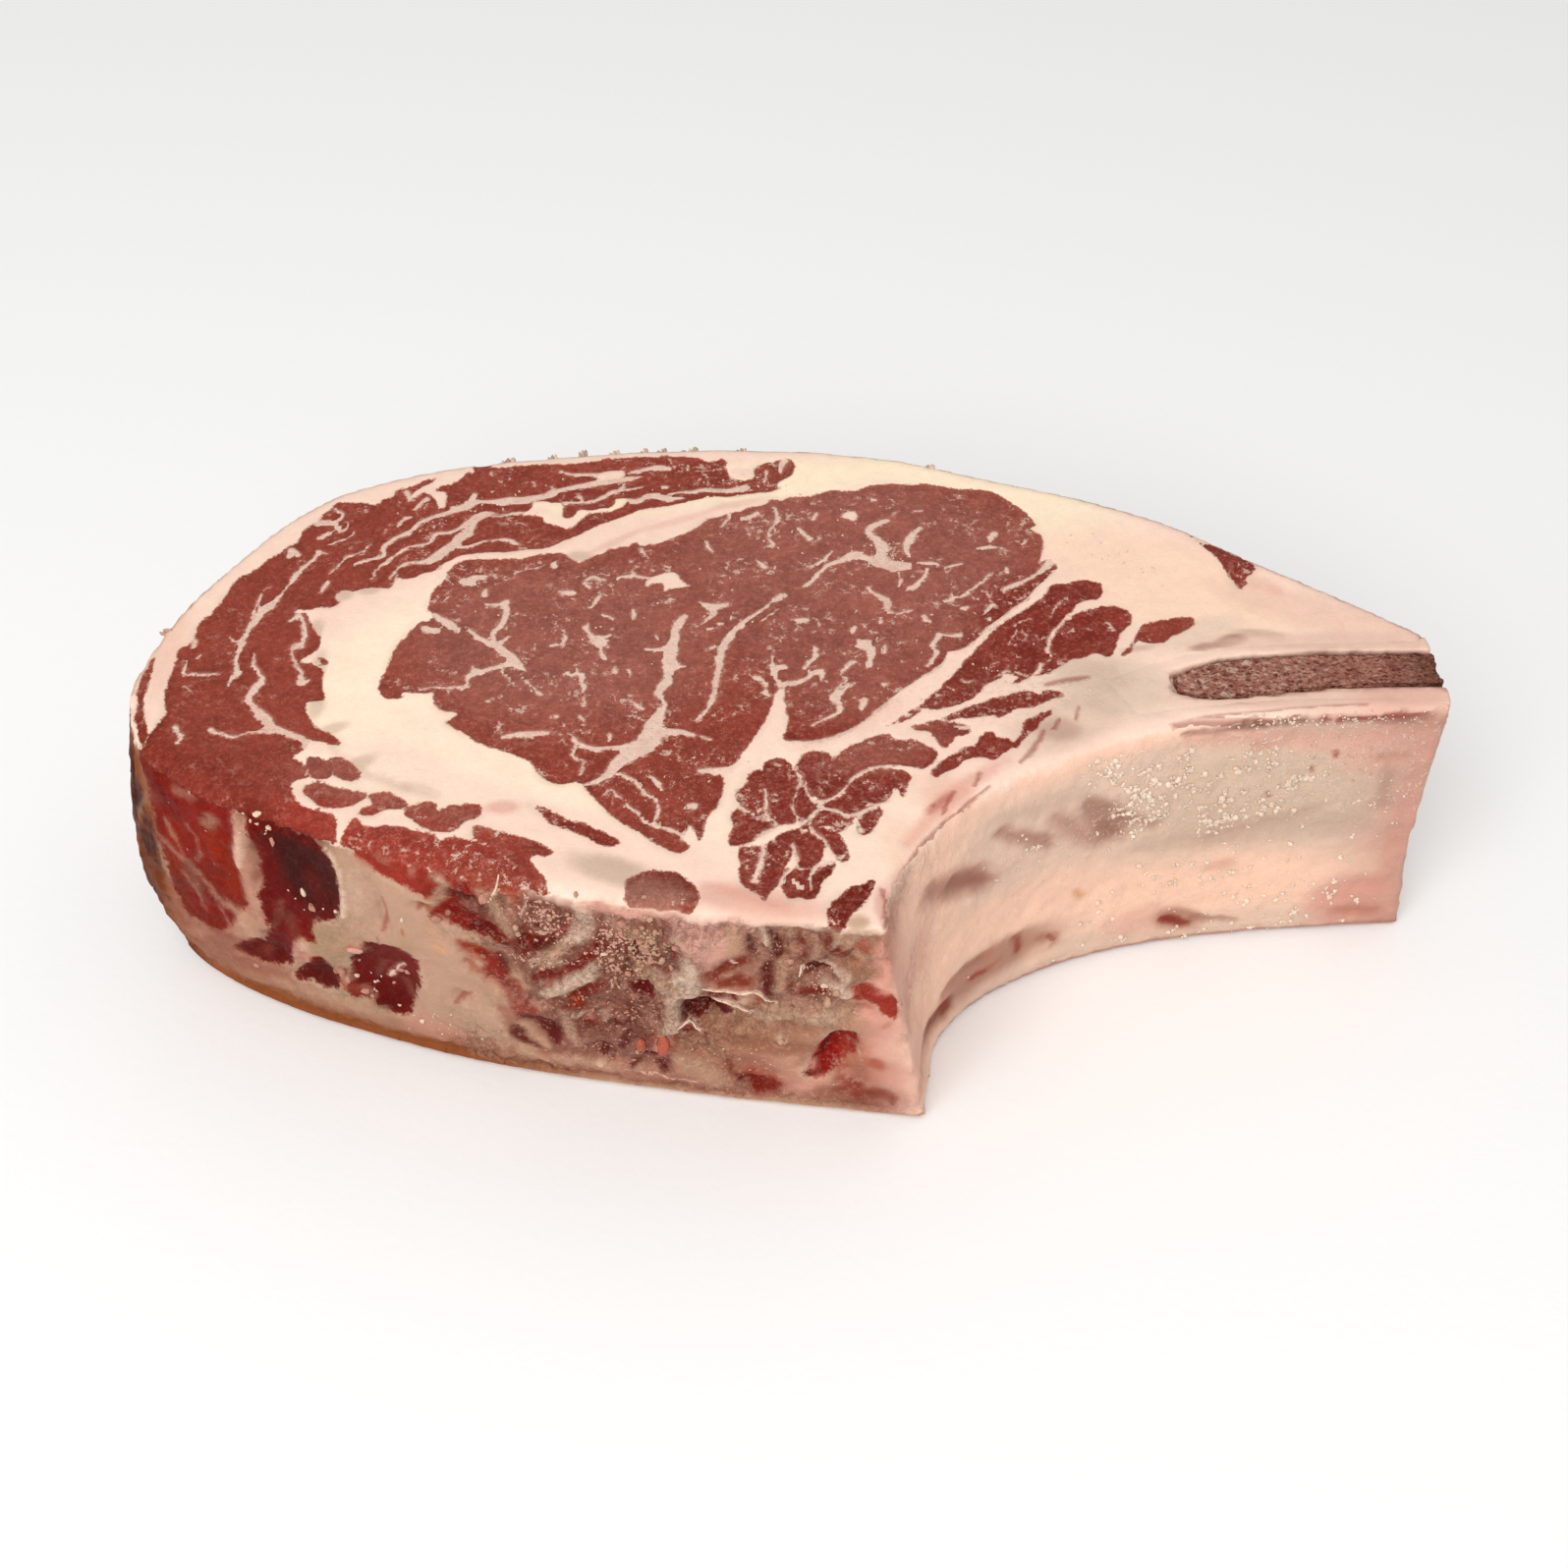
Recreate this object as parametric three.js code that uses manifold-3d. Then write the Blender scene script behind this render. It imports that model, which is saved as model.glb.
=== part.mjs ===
// A thick bone-in ribeye steak, lying on its lower cut face. Millimetres, +Z up, +X towards the sawn
// end of the rib, +Y towards the fat cap. The origin is the middle of the footprint, at the base.
// Three solids: the meat with its fat, the rib's hard shell, and the rib's spongy core.
import * as THREE from "three";
import { mergeVertices } from "three/addons/utils/BufferGeometryUtils.js";
import Module from "manifold-3d";

const wasm = await Module();
wasm.setup();

// Driving dimensions
const thickness = 57; // between the two cut faces
const stationsToCorner = 42; // sections from the rounded end to the chine corner
const stationsAlongRib = 30; // sections from the chine corner to the sawn end
const stepsAcross = 15; // spans across a cut face
const stepsUpSide = 9; // spans up a side wall
const roundSteps = 2; // spans round an edge
const slotGap = 0.3; // clearance round the bone and round its core
const ribDepth = 23; // how far the rib reaches down into the steak
const coreDepth = 17; // how far its spongy core reaches down
const shoulderShare = 0.55; // where the bar's sides turn under, as a share of its depth
const coreStartX = 67.5; // where the core begins to show in the upper face
const bellyLow = 0.75; // under 1, a wall's fullest place lies below half height
const faceRelief = 0.35; // unevenness of the upper cut face
const chineRelief = 1.5; // lumps of the rough sawn front, where the backbone was cut off
const chineRough = { from: 0.3, to: 0.5, fade: 0.94 }; // shares of the chine side that the saw left rough
const membraneRidge = { height: 0.88, size: 0.9 }; // ridge along the rib side, and a hollow half way down
const membraneStart = 0.15; // share of the rib side over which that ridge grows from the corner
const footEdge = 2.5; // radius of the lower edge, all round
const sawnHollow = 1.2; // how far the sawn end is hollowed at half height
const cornerShare = 0.585; // the cap side's place that faces the chine corner, as a share of its rows
const endBunching = 0.35; // how much closer the points across a face lie near its two edges
const barSteps = 26; // sections along the rib and along its core
const barRounding = 7; // spans round their undersides
const aboveFace = 3; // how far the cutting bars stand over the upper face
const mergeDistance = 1e-4; // points nearer than this are one

// Each row is one place on the outline: the point on the upper face's edge, the point below it on the
// lower face's edge, how far the wall bulges between them, and the radius of the upper edge.
const capSide = [
  { top: [-112.8, -4.5], foot: [-112.6, -1], bulge: 2.7, edge: 2.5 },
  { top: [-108.7, 11.2], foot: [-109.5, 11], bulge: 2.6, edge: 1.6 },
  { top: [-99.3, 29.3], foot: [-101, 28], bulge: 2.2, edge: 1.4 },
  { top: [-86.2, 46.1], foot: [-87, 44], bulge: 1.6, edge: 1.4 },
  { top: [-65.3, 55.5], foot: [-66, 53.5], bulge: 1.4, edge: 1.4 },
  { top: [-40, 60], foot: [-40, 59], bulge: 1.1, edge: 1.5 },
  { top: [-15, 62], foot: [-15, 61], bulge: 1.1, edge: 1.5 },
  { top: [5, 61.3], foot: [5, 60.5], bulge: 1.1, edge: 1.5 },
  { top: [22, 58.4], foot: [22, 57.5], bulge: 1.1, edge: 1.5 },
  { top: [40, 52.2], foot: [40, 51.5], bulge: 1, edge: 1.5 },
  { top: [57, 46.2], foot: [58, 45.5], bulge: 0.9, edge: 1.5 },
  { top: [72, 38.6], foot: [74, 38], bulge: 0.8, edge: 1.4 },
  { top: [86, 27.8], foot: [88, 28], bulge: 0.6, edge: 1.2 },
  { top: [100, 17.6], foot: [102, 18], bulge: 0.4, edge: 1 },
  { top: [113.6, 6.9], foot: [115.1, 8.3], bulge: 0, edge: 0.8 },
];
const chineSide = [
  { top: [-112.6, -11.5], foot: [-113, -7.5], bulge: 2.9, edge: 3 },
  { top: [-110, -20.5], foot: [-110.4, -16.6], bulge: 4.9, edge: 4.5 },
  { top: [-101, -30.5], foot: [-103.4, -24.2], bulge: 3.4, edge: 5.5 },
  { top: [-86, -38.5], foot: [-90.2, -32.2], bulge: 2.2, edge: 5.5 },
  { top: [-70, -45], foot: [-73.2, -39], bulge: 1.8, edge: 5 },
  { top: [-52, -51.5], foot: [-55, -44.8], bulge: 1.5, edge: 4.5 },
  { top: [-34, -56.5], foot: [-35, -49], bulge: 1.2, edge: 3 },
  { top: [-16, -59], foot: [-15, -52.4], bulge: 0.9, edge: 2 },
  { top: [0, -61.4], foot: [5, -55.2], bulge: 0.5, edge: 2 },
  { top: [15.8, -62.9], foot: [25, -57.8], bulge: 0, edge: 1.5 },
];
const ribSide = [
  { top: [15.8, -62.9], foot: [25, -57.8], bulge: 0, edge: 1.5 },
  { top: [17, -55], foot: [26, -47], bulge: 0.4, edge: 2.5 },
  { top: [20.5, -48], foot: [28, -39.8], bulge: 0.8, edge: 3 },
  { top: [27, -39], foot: [33.4, -32.8], bulge: 0.8, edge: 3 },
  { top: [37, -30.7], foot: [43, -26.2], bulge: 0.6, edge: 3 },
  { top: [50, -23.4], foot: [54.6, -21], bulge: 0.4, edge: 3 },
  { top: [66, -17.3], foot: [68.3, -17.3], bulge: 0.3, edge: 2.5 },
  { top: [84, -14.2], foot: [84, -14.9], bulge: 0.2, edge: 2 },
  { top: [100, -13], foot: [100, -13.5], bulge: 0.1, edge: 2 },
  { top: [114.9, -12.2], foot: [116, -12.6], bulge: 0, edge: 1.5 },
];

// The rib in plan, from the sawn end to where it dives under the inner membrane: middle, width, and
// how far its top lies under the upper cut face.
const ribLine = [
  { middle: [118, -2.2], width: 18.4, sunk: -1 },
  { middle: [100, -2.4], width: 18, sunk: -1 },
  { middle: [84, -3.2], width: 17.6, sunk: -1 },
  { middle: [72, -5], width: 16.6, sunk: -1 },
  { middle: [62, -8], width: 14.4, sunk: -1 },
  { middle: [53, -12.5], width: 11.5, sunk: 2 },
  { middle: [45.5, -18.5], width: 9, sunk: 7 },
];
// The core in plan: middle and width of the dark band in the sawn bone.
const coreLine = [
  { middle: [118, -1.9], width: 8.4 },
  { middle: [100, -2.1], width: 8.4 },
  { middle: [86, -3.2], width: 9.2 },
  { middle: [75, -4.9], width: 9.2 },
  { middle: [coreStartX, -5.8], width: 5 },
];

// A smooth curve through a column of a table of rows, read by a share from 0 to 1.
function columnCurve(rows, pick) {
  const points = rows.map((row) => new THREE.Vector3(...pick(row), 0));
  const curve = new THREE.CatmullRomCurve3(points, false, "centripetal");
  return (share) => curve.getPoint(THREE.MathUtils.clamp(share, 0, 1));
}

// All columns of one side of the steak, read at a share along it.
function sideReader(rows) {
  const top = columnCurve(rows, (row) => row.top);
  const foot = columnCurve(rows, (row) => row.foot);
  const wall = columnCurve(rows, (row) => [row.bulge, row.edge]);
  return (share) => ({ top: top(share), foot: foot(share), bulge: wall(share).x, edge: wall(share).y });
}

// Smooth unevenness between -1 and 1, made of a few crossed waves.
function waves(x, y, z) {
  const long = Math.sin(0.21 * x + 0.13 * z) * Math.cos(0.17 * y - 0.19 * z);
  const mid = Math.sin(0.43 * y + 0.37 * x + 0.29 * z) * Math.cos(0.39 * z - 0.31 * x);
  const short = Math.sin(0.71 * x - 0.53 * z) * Math.cos(0.67 * z + 0.59 * y);
  return 0.45 * long + 0.35 * mid + 0.2 * short;
}

// How rough the chine wall is at a place: full where the saw ran, none on the rounded end or the rib.
function roughness(share) {
  const { from, to, fade } = chineRough;
  return THREE.MathUtils.smoothstep(share, from, to) * (1 - THREE.MathUtils.smoothstep(share, fade, 1));
}

// The membrane's ridge and hollow on the rib side, as an outward offset at a share of the height.
function membraneSwell(height) {
  const ripple = Math.cos(2 * Math.PI * (height - membraneRidge.height));
  return membraneRidge.size * ripple * Math.sin(Math.PI * height);
}

// The wall of one section from the upper edge down to the lower edge, as points in order.
function wallPoints(place, outward, inward, offsetAt) {
  const points = [];
  const at = (height, inset) => {
    const point = new THREE.Vector3().lerpVectors(place.foot, place.top, height);
    const swell = place.bulge * Math.sin(Math.PI * height ** bellyLow) + offsetAt(height, point);
    point.addScaledVector(outward, swell).addScaledVector(inward, inset);
    return point.setZ(height * thickness);
  };
  for (let i = 0; i <= roundSteps; i++) {
    const angle = (Math.PI / 2) * (i / roundSteps);
    const drop = place.edge * (1 - Math.cos(angle));
    points.push(at(1 - drop / thickness, place.edge * (1 - Math.sin(angle))));
  }
  const high = 1 - place.edge / thickness;
  const low = footEdge / thickness;
  for (let i = 1; i < stepsUpSide; i++) points.push(at(high + (low - high) * (i / stepsUpSide), 0));
  for (let i = 0; i <= roundSteps; i++) {
    const angle = (Math.PI / 2) * (i / roundSteps);
    const lift = footEdge * (1 - Math.sin(angle));
    points.push(at(lift / thickness, footEdge * (1 - Math.cos(angle))));
  }
  return points;
}

// Points strictly between two ends, closer together near the ends.
function across(from, to) {
  const points = [];
  for (let i = 1; i < stepsAcross; i++) {
    const even = i / stepsAcross;
    const share = even - (endBunching * Math.sin(2 * Math.PI * even)) / (2 * Math.PI);
    points.push(new THREE.Vector3().lerpVectors(from, to, share));
  }
  return points;
}

// A closed solid from rings of equally many points, its two ends closed by fans.
function solidFromRings(rings) {
  const count = rings[0].length;
  const vertices = rings.flat();
  const triangles = [];
  for (let r = 0; r + 1 < rings.length; r++) {
    for (let i = 0; i < count; i++) {
      const j = (i + 1) % count;
      const [a, b, c, d] = [r * count + i, r * count + j, (r + 1) * count + j, (r + 1) * count + i];
      triangles.push(a, b, c, a, c, d);
    }
  }
  for (const [r, flip] of [[0, true], [rings.length - 1, false]]) {
    const middle = new THREE.Vector3();
    rings[r].forEach((point) => middle.add(point));
    vertices.push(middle.divideScalar(count));
    for (let i = 0; i < count; i++) {
      const j = (i + 1) % count;
      const pair = flip ? [r * count + j, r * count + i] : [r * count + i, r * count + j];
      triangles.push(vertices.length - 1, ...pair);
    }
  }
  const geometry = new THREE.BufferGeometry().setFromPoints(vertices);
  geometry.setIndex(triangles);
  return geometry;
}

// The level direction at right angles to a curve, to its right as the share grows.
function rightOf(curve, share) {
  const step = 0.004;
  const along = curve(share + step).sub(curve(Math.max(share - step, 0)));
  return new THREE.Vector3(along.y, -along.x, 0).normalize();
}

// One ring round the steak: over the upper face, down the near wall, under, and up the far wall.
function steakRing(far, near, farOut, nearOut, nearOffset) {
  const toNear = new THREE.Vector3().subVectors(near.top, far.top).setZ(0).normalize();
  const farWall = wallPoints(far, farOut, toNear, () => 0);
  const nearWall = wallPoints(near, nearOut, toNear.clone().negate(), nearOffset);
  const upper = across(farWall[0], nearWall[0]);
  upper.forEach((point) => (point.z -= faceRelief * (0.5 + 0.5 * waves(point.x, point.y, 0))));
  const lower = across(nearWall.at(-1), farWall.at(-1));
  return [...upper, ...nearWall, ...lower, ...farWall.reverse()];
}

// The whole steak before the rib is cut out: rings from the rounded end to the sawn end.
function steakSolid() {
  const cap = sideReader(capSide);
  const chine = sideReader(chineSide);
  const rib = sideReader(ribSide);
  const rings = [];
  for (let i = 0; i < stationsToCorner; i++) {
    const share = i / stationsToCorner;
    const capShare = share * cornerShare;
    const farOut = rightOf((s) => cap(s).top, capShare).negate();
    const nearOut = rightOf((s) => chine(s).top, share);
    const relief = chineRelief * roughness(share);
    const lumps = (height, point) =>
      relief * Math.sin(Math.PI * height) * waves(point.x, point.y, height * thickness);
    rings.push(steakRing(cap(capShare), chine(share), farOut, nearOut, lumps));
  }
  for (let i = 0; i <= stationsAlongRib; i++) {
    const share = i / stationsAlongRib;
    const capShare = cornerShare + share * (1 - cornerShare);
    const farOut = rightOf((s) => cap(s).top, capShare).negate();
    const nearOut = rightOf((s) => rib(s).top, share);
    const grown = THREE.MathUtils.smoothstep(share, 0, membraneStart);
    const swell = (height) => grown * membraneSwell(height);
    rings.push(steakRing(cap(capShare), rib(share), farOut, nearOut, swell));
  }
  rings.at(-1).forEach((point) => (point.x -= sawnHollow * Math.sin((Math.PI * point.z) / thickness)));
  return solidFromRings(rings);
}

// A bar that follows a line in plan, flat on top and rounded below. It grows by the gap all round.
function barSolid(line, depth, topAt, gap) {
  const middle = columnCurve(line, (row) => row.middle);
  const width = columnCurve(line, (row) => [row.width, row.sunk ?? 0]);
  const rings = [];
  for (let i = 0; i <= barSteps; i++) {
    const share = i / barSteps;
    const side = rightOf(middle, share);
    const along = new THREE.Vector3(-side.y, side.x, 0);
    const centre = middle(share).addScaledVector(along, i === barSteps ? gap : 0);
    const half = width(share).x / 2 + gap;
    const top = topAt(width(share).y) + gap;
    const bottom = thickness - depth - gap;
    const shoulder = thickness - depth * shoulderShare;
    const place = (x, z) => new THREE.Vector3(centre.x, centre.y, z).addScaledVector(side, x);
    const ring = [place(-half, top), place(half, top)];
    for (let k = 0; k <= barRounding; k++) {
      const angle = Math.PI * (k / barRounding);
      ring.push(place(half * Math.cos(angle), shoulder - (shoulder - bottom) * Math.sin(angle)));
    }
    rings.push(ring);
  }
  return solidFromRings(rings);
}

// A geometry as a solid that can be cut, and back.
function toManifold(geometry) {
  const bare = new THREE.BufferGeometry();
  bare.setAttribute("position", geometry.getAttribute("position").clone());
  bare.setIndex(geometry.index.clone());
  const merged = mergeVertices(bare, mergeDistance);
  const mesh = new wasm.Mesh({
    numProp: 3,
    vertProperties: merged.attributes.position.array,
    triVerts: new Uint32Array(merged.index.array),
  });
  return new wasm.Manifold(mesh);
}

function toGeometry(solid) {
  const mesh = solid.getMesh();
  const geometry = new THREE.BufferGeometry();
  geometry.setAttribute("position", new THREE.BufferAttribute(mesh.vertProperties.slice(), 3));
  geometry.setIndex(new THREE.BufferAttribute(mesh.triVerts.slice(), 1));
  geometry.computeVertexNormals();
  return geometry;
}

function material(color, roughness) {
  return new THREE.MeshStandardMaterial({ color, roughness, metalness: 0 });
}

function namedMesh(name, solid, finish) {
  const mesh = new THREE.Mesh(toGeometry(solid), finish);
  mesh.name = name;
  return mesh;
}

// The rib and its core are both cut from the steak's own form, so that their sawn faces lie flush.
const topOfRib = (sunk) => (sunk < 0 ? thickness + aboveFace : thickness - sunk);
const topOfCore = () => thickness + aboveFace;
const steak = toManifold(steakSolid());
const bone = steak.intersect(toManifold(barSolid(ribLine, ribDepth, topOfRib, 0)));
const meat = steak.subtract(toManifold(barSolid(ribLine, ribDepth, topOfRib, slotGap)));
const core = bone.intersect(toManifold(barSolid(coreLine, coreDepth, topOfCore, 0)));
const shell = bone.subtract(toManifold(barSolid(coreLine, coreDepth, topOfCore, slotGap)));

const group = new THREE.Group();
group.add(namedMesh("meat_and_fat", meat, material(0x9a4a3c, 0.45)));
group.add(namedMesh("rib_shell", shell, material(0xd9b8a4, 0.55)));
group.add(namedMesh("rib_core", core, material(0x8a5548, 0.75)));
export default group;
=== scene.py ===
import math
import random

import bmesh
import bpy
import numpy as np
from mathutils import Matrix, Vector, noise
from mathutils.bvhtree import BVHTree
from mathutils.kdtree import KDTree


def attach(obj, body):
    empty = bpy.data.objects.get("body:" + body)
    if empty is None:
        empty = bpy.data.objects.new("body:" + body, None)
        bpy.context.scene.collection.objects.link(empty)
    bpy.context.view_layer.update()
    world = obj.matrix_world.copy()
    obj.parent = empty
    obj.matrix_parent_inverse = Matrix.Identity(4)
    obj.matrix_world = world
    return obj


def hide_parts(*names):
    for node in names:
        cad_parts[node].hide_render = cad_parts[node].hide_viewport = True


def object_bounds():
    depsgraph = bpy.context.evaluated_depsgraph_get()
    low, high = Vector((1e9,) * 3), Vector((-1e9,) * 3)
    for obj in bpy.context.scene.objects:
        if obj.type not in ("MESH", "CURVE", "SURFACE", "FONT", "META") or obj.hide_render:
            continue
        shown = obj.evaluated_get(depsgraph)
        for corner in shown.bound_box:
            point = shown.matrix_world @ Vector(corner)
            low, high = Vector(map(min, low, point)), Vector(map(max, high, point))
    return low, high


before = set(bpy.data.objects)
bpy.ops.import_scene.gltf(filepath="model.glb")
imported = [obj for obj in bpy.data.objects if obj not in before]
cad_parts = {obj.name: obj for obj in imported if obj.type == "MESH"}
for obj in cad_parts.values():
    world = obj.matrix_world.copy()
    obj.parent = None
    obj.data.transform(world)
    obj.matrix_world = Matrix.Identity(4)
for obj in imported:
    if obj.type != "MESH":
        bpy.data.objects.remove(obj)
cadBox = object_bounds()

mm = 0.001  # every length below is in millimetres until it is put in a mesh
cutHeight = round(cadBox[1][2] / mm, 3)  # the upper cut face stands this high
random.seed(7)
noise.seed_set(7)

# Colours, as they look in soft daylight: red, green and blue out of 255
colours = """
eye 160 95 82
cap 150 71 58
group 135 56 47
deep 116 44 36
bright 162 66 56
wallRed 136 48 32
wallBrown 124 54 40
darkRed 98 32 25
night 74 24 19
pocket 113 44 35
clot 152 36 26
clotDark 84 14 12
ember 148 60 42
brick 172 88 68
kernel 254 226 200
fat 248 212 187
capFat 249 225 196
warmFat 251 229 200
rimFat 236 197 176
seam 244 211 192
blush 196 134 118
salmon 222 158 140
pink 218 164 147
rose 188 134 114
pale 226 194 170
tan 192 150 124
greenTan 176 142 115
column 188 150 127
sawn 170 122 97
sawnDark 144 94 72
brown 148 88 58
olive 76 46 26
rust 116 62 34
veil 158 104 86
mauve 142 94 80
purple 146 98 86
plum 166 118 104
grey 196 168 148
gristle 222 196 176
bone 224 187 168
membrane 219 188 168
film 206 180 158
peach 240 198 174
frost 232 206 186
snow 241 216 196
strand 216 160 142
vein 146 62 54
orange 212 152 114
marrow 192 138 120
marrowDark 122 64 53
"""

# How bright the upper face, the walls and loose pieces are lit, and the share of sky that each mirrors
topLight = (1.02, 0.014)
wallLight = (1.05, 0.022)
looseLight = (1.03, 0.015)
darkest = (0.01, 0.004, 0.002)
brightest = 0.95


def rowsOf(text):
    return [row.split() for row in text.strip().splitlines()]


palette = {name: [int(part) for part in parts] for name, *parts in rowsOf(colours)}


def linear(rgb, light=topLight):
    parts = np.array(rgb) / 255
    plain = np.where(parts <= 0.04045, parts / 12.92, ((parts + 0.055) / 1.055) ** 2.4)
    return np.clip((plain - light[1]) / light[0], darkest, brightest)


def blendIn(low, high, value):
    share = np.clip((value - low) / (high - low), 0, 1)
    return share * share * (3 - 2 * share)


def smoothCurve(points, closed, step):
    count = len(points)
    parts = []
    for i in range(count if closed else count - 1):
        before = points[i - 1] if closed or i > 0 else points[i]
        start, end = points[i], points[(i + 1) % count]
        after = points[(i + 2) % count] if closed or i + 2 < count else end
        steps = max(2, int(np.linalg.norm((end - start)[:2]) / step))
        t = (np.arange(steps) / steps)[:, None]
        bend = 2 * before - 5 * start + 4 * end - after
        twist = 3 * start - before - 3 * end + after
        parts.append(0.5 * (2 * start + (end - before) * t + bend * t**2 + twist * t**3))
    if not closed:
        parts.append(points[-1:])
    return np.concatenate(parts)


# A listed shape: "x,y x,y ..." in mm, after any name; a third number is a line's width from there on
def shapeOf(words, closed, step):
    points = [[float(v) for v in word.split(",")] for word in words if "," in word]
    for before, point in zip(points, points[1:]):
        point.extend(before[len(point):])
    return smoothCurve(np.array(points), closed, step)


def insideOf(outline, places):
    inside = np.zeros(len(places), bool)
    x, y = places[:, 0], places[:, 1]
    low, high = outline.min(0), outline.max(0)
    near = np.nonzero((x > low[0]) & (x < high[0]) & (y > low[1]) & (y < high[1]))[0]
    px, py = x[near], y[near]
    hit = np.zeros(len(near), bool)
    for (x0, y0), (x1, y1) in zip(outline, np.roll(outline, -1, 0)):
        if y0 != y1:
            hit ^= ((y0 > py) != (y1 > py)) & (px < (x1 - x0) * (py - y0) / (y1 - y0) + x0)
    inside[near] = hit
    return inside


# A search tree over flat places, which answers with their numbers
def treeOf(places, numbers=None):
    tree = KDTree(len(places))
    for number, place in zip(range(len(places)) if numbers is None else numbers, places):
        tree.insert((place[0], place[1], 0), int(number))
    tree.balance()
    return tree


# Millimetres from each place to the nearest outline, positive inside the lean
def leanDepthAt(places, leans, fats, islands):
    inside = np.zeros(len(places), bool)
    for outline in leans:
        inside |= insideOf(outline, places)
    for outline in fats:
        inside &= ~insideOf(outline, places)
    for outline in islands:
        inside |= insideOf(outline, places)
    tree = treeOf(np.concatenate(leans + fats + islands))
    far = np.array([tree.find((x, y, 0))[2] for x, y in places])
    return np.where(inside, far, -far)


farAway = 9.0  # stands for further than any pattern reaches
rivalReach = 2.0  # a second line whose edge is this near is looked at
rivalGap = 1.2  # and the border between the two counts as this much further from both


# For each place: the way (x, y) to the line whose edge is nearest, its half width, and how far its edge is
def nearestLine(places, lines, reach):
    samples, ways, ends, owners = [], [], [], []
    for number, line in enumerate(lines):
        owners += [number] * len(line)
        way = np.gradient(line[:, :2], axis=0)
        samples.append(line)
        ways.append(way / np.maximum(np.linalg.norm(way, axis=1), 1e-6)[:, None])
        end = np.zeros(len(line), bool)
        end[[0, -1]] = True
        ends.append(end)
    samples, ways, ends = np.concatenate(samples), np.concatenate(ways), np.concatenate(ends)
    tree = treeOf(samples)
    halves = samples[:, 2] / 2
    vector = np.tile((farAway, 0.0, 0.0), (len(places), 1))
    edge = np.full(len(places), farAway)
    for k, (x, y) in enumerate(places):
        found = tree.find_range((x, y, 0), reach)
        if not found:
            continue
        i = min(found, key=lambda hit: hit[2] - halves[hit[1]])[1]
        dx, dy = x - samples[i, 0], y - samples[i, 1]
        if not ends[i]:
            along = dx * ways[i, 0] + dy * ways[i, 1]
            dx, dy = dx - along * ways[i, 0], dy - along * ways[i, 1]
        vector[k] = dx, dy, halves[i]
        edge[k] = math.hypot(dx, dy) - halves[i]
        # between two lines these ways turn over, and no line is drawn there
        near = [hit for hit in found if hit[2] - halves[hit[1]] < rivalReach]
        rivals = [hit for hit in near if owners[hit[1]] != owners[i]]
        if rivals and edge[k] > 0.1:
            j = min(rivals, key=lambda hit: hit[2])[1]
            if dx * (x - samples[j, 0]) + dy * (y - samples[j, 1]) < 0:
                edge[k] += rivalGap
    return vector, edge


# Noise of about -1 to 1; each octave after the first halves the size of its details
def roughness(place, size, octaves=3):
    return noise.fractal(Vector(place) / size, 0.9, 2.0, octaves)


# The same at many places, or at one height of the noise above flat ones
def roughnessAt(places, size, octaves=3, height=None):
    if height is not None:
        places = np.insert(places[:, :2], 2, height, 1)
    return np.array([roughness(place, size, octaves) for place in places])


# How far places are from an oval's middle, where 1 is its edge
def ovalReach(places, x, y, rx, ry, turn):
    c, s = math.cos(math.radians(turn)), math.sin(math.radians(turn))
    dx, dy = places[:, 0] - x, places[:, 1] - y
    return np.hypot((dx * c + dy * s) / rx, (dy * c - dx * s) / ry)


ovalFade = (0.55, 1.35)  # an oval is full inside the first share of it, and gone at the second


# Flat places to paint colours on, with an edge for every shape laid on them that strays by ragged (mm)
class Canvas:
    def __init__(self, places, light, ragged=0.5):
        self.places = places
        self.light = light
        self.ragged = ragged * roughnessAt(places, 1.5, 2, height=7)

    def lay(self, tints, rows, name, share):
        share = share[:, None]
        for tint in tints:
            tint[rows] = tint[rows] * (1 - share) + linear(palette[name], self.light) * share

    # "x y radiusX radiusY turn colour strength"
    def ovals(self, tint, text):
        for *oval, name, strength in rowsOf(text):
            far = ovalReach(self.places, *map(float, oval)) + 0.1 * self.ragged
            self.lay([tint], slice(None), name, float(strength) * (1 - blendIn(*ovalFade, far)))

    # "colour strength softness x,y,width x,y,width ..."
    def strokes(self, tints, text):
        for name, strength, soft, *points in rowsOf(text):
            line = shapeOf(points, False, 0.4)
            soft, margin = float(soft), line[:, 2].max() + float(soft) + 1
            low, high = line[:, :2].min(0) - margin, line[:, :2].max(0) + margin
            near = np.nonzero(((self.places > low) & (self.places < high)).all(1))[0]
            if len(near):
                gaps = self.places[near, None] - line[None, :, :2]
                edge = (np.hypot(gaps[..., 0], gaps[..., 1]) - line[:, 2] / 2).min(1) + self.ragged[near]
                self.lay(tints, near, name, float(strength) * (1 - blendIn(-soft, soft, edge)))


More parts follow.
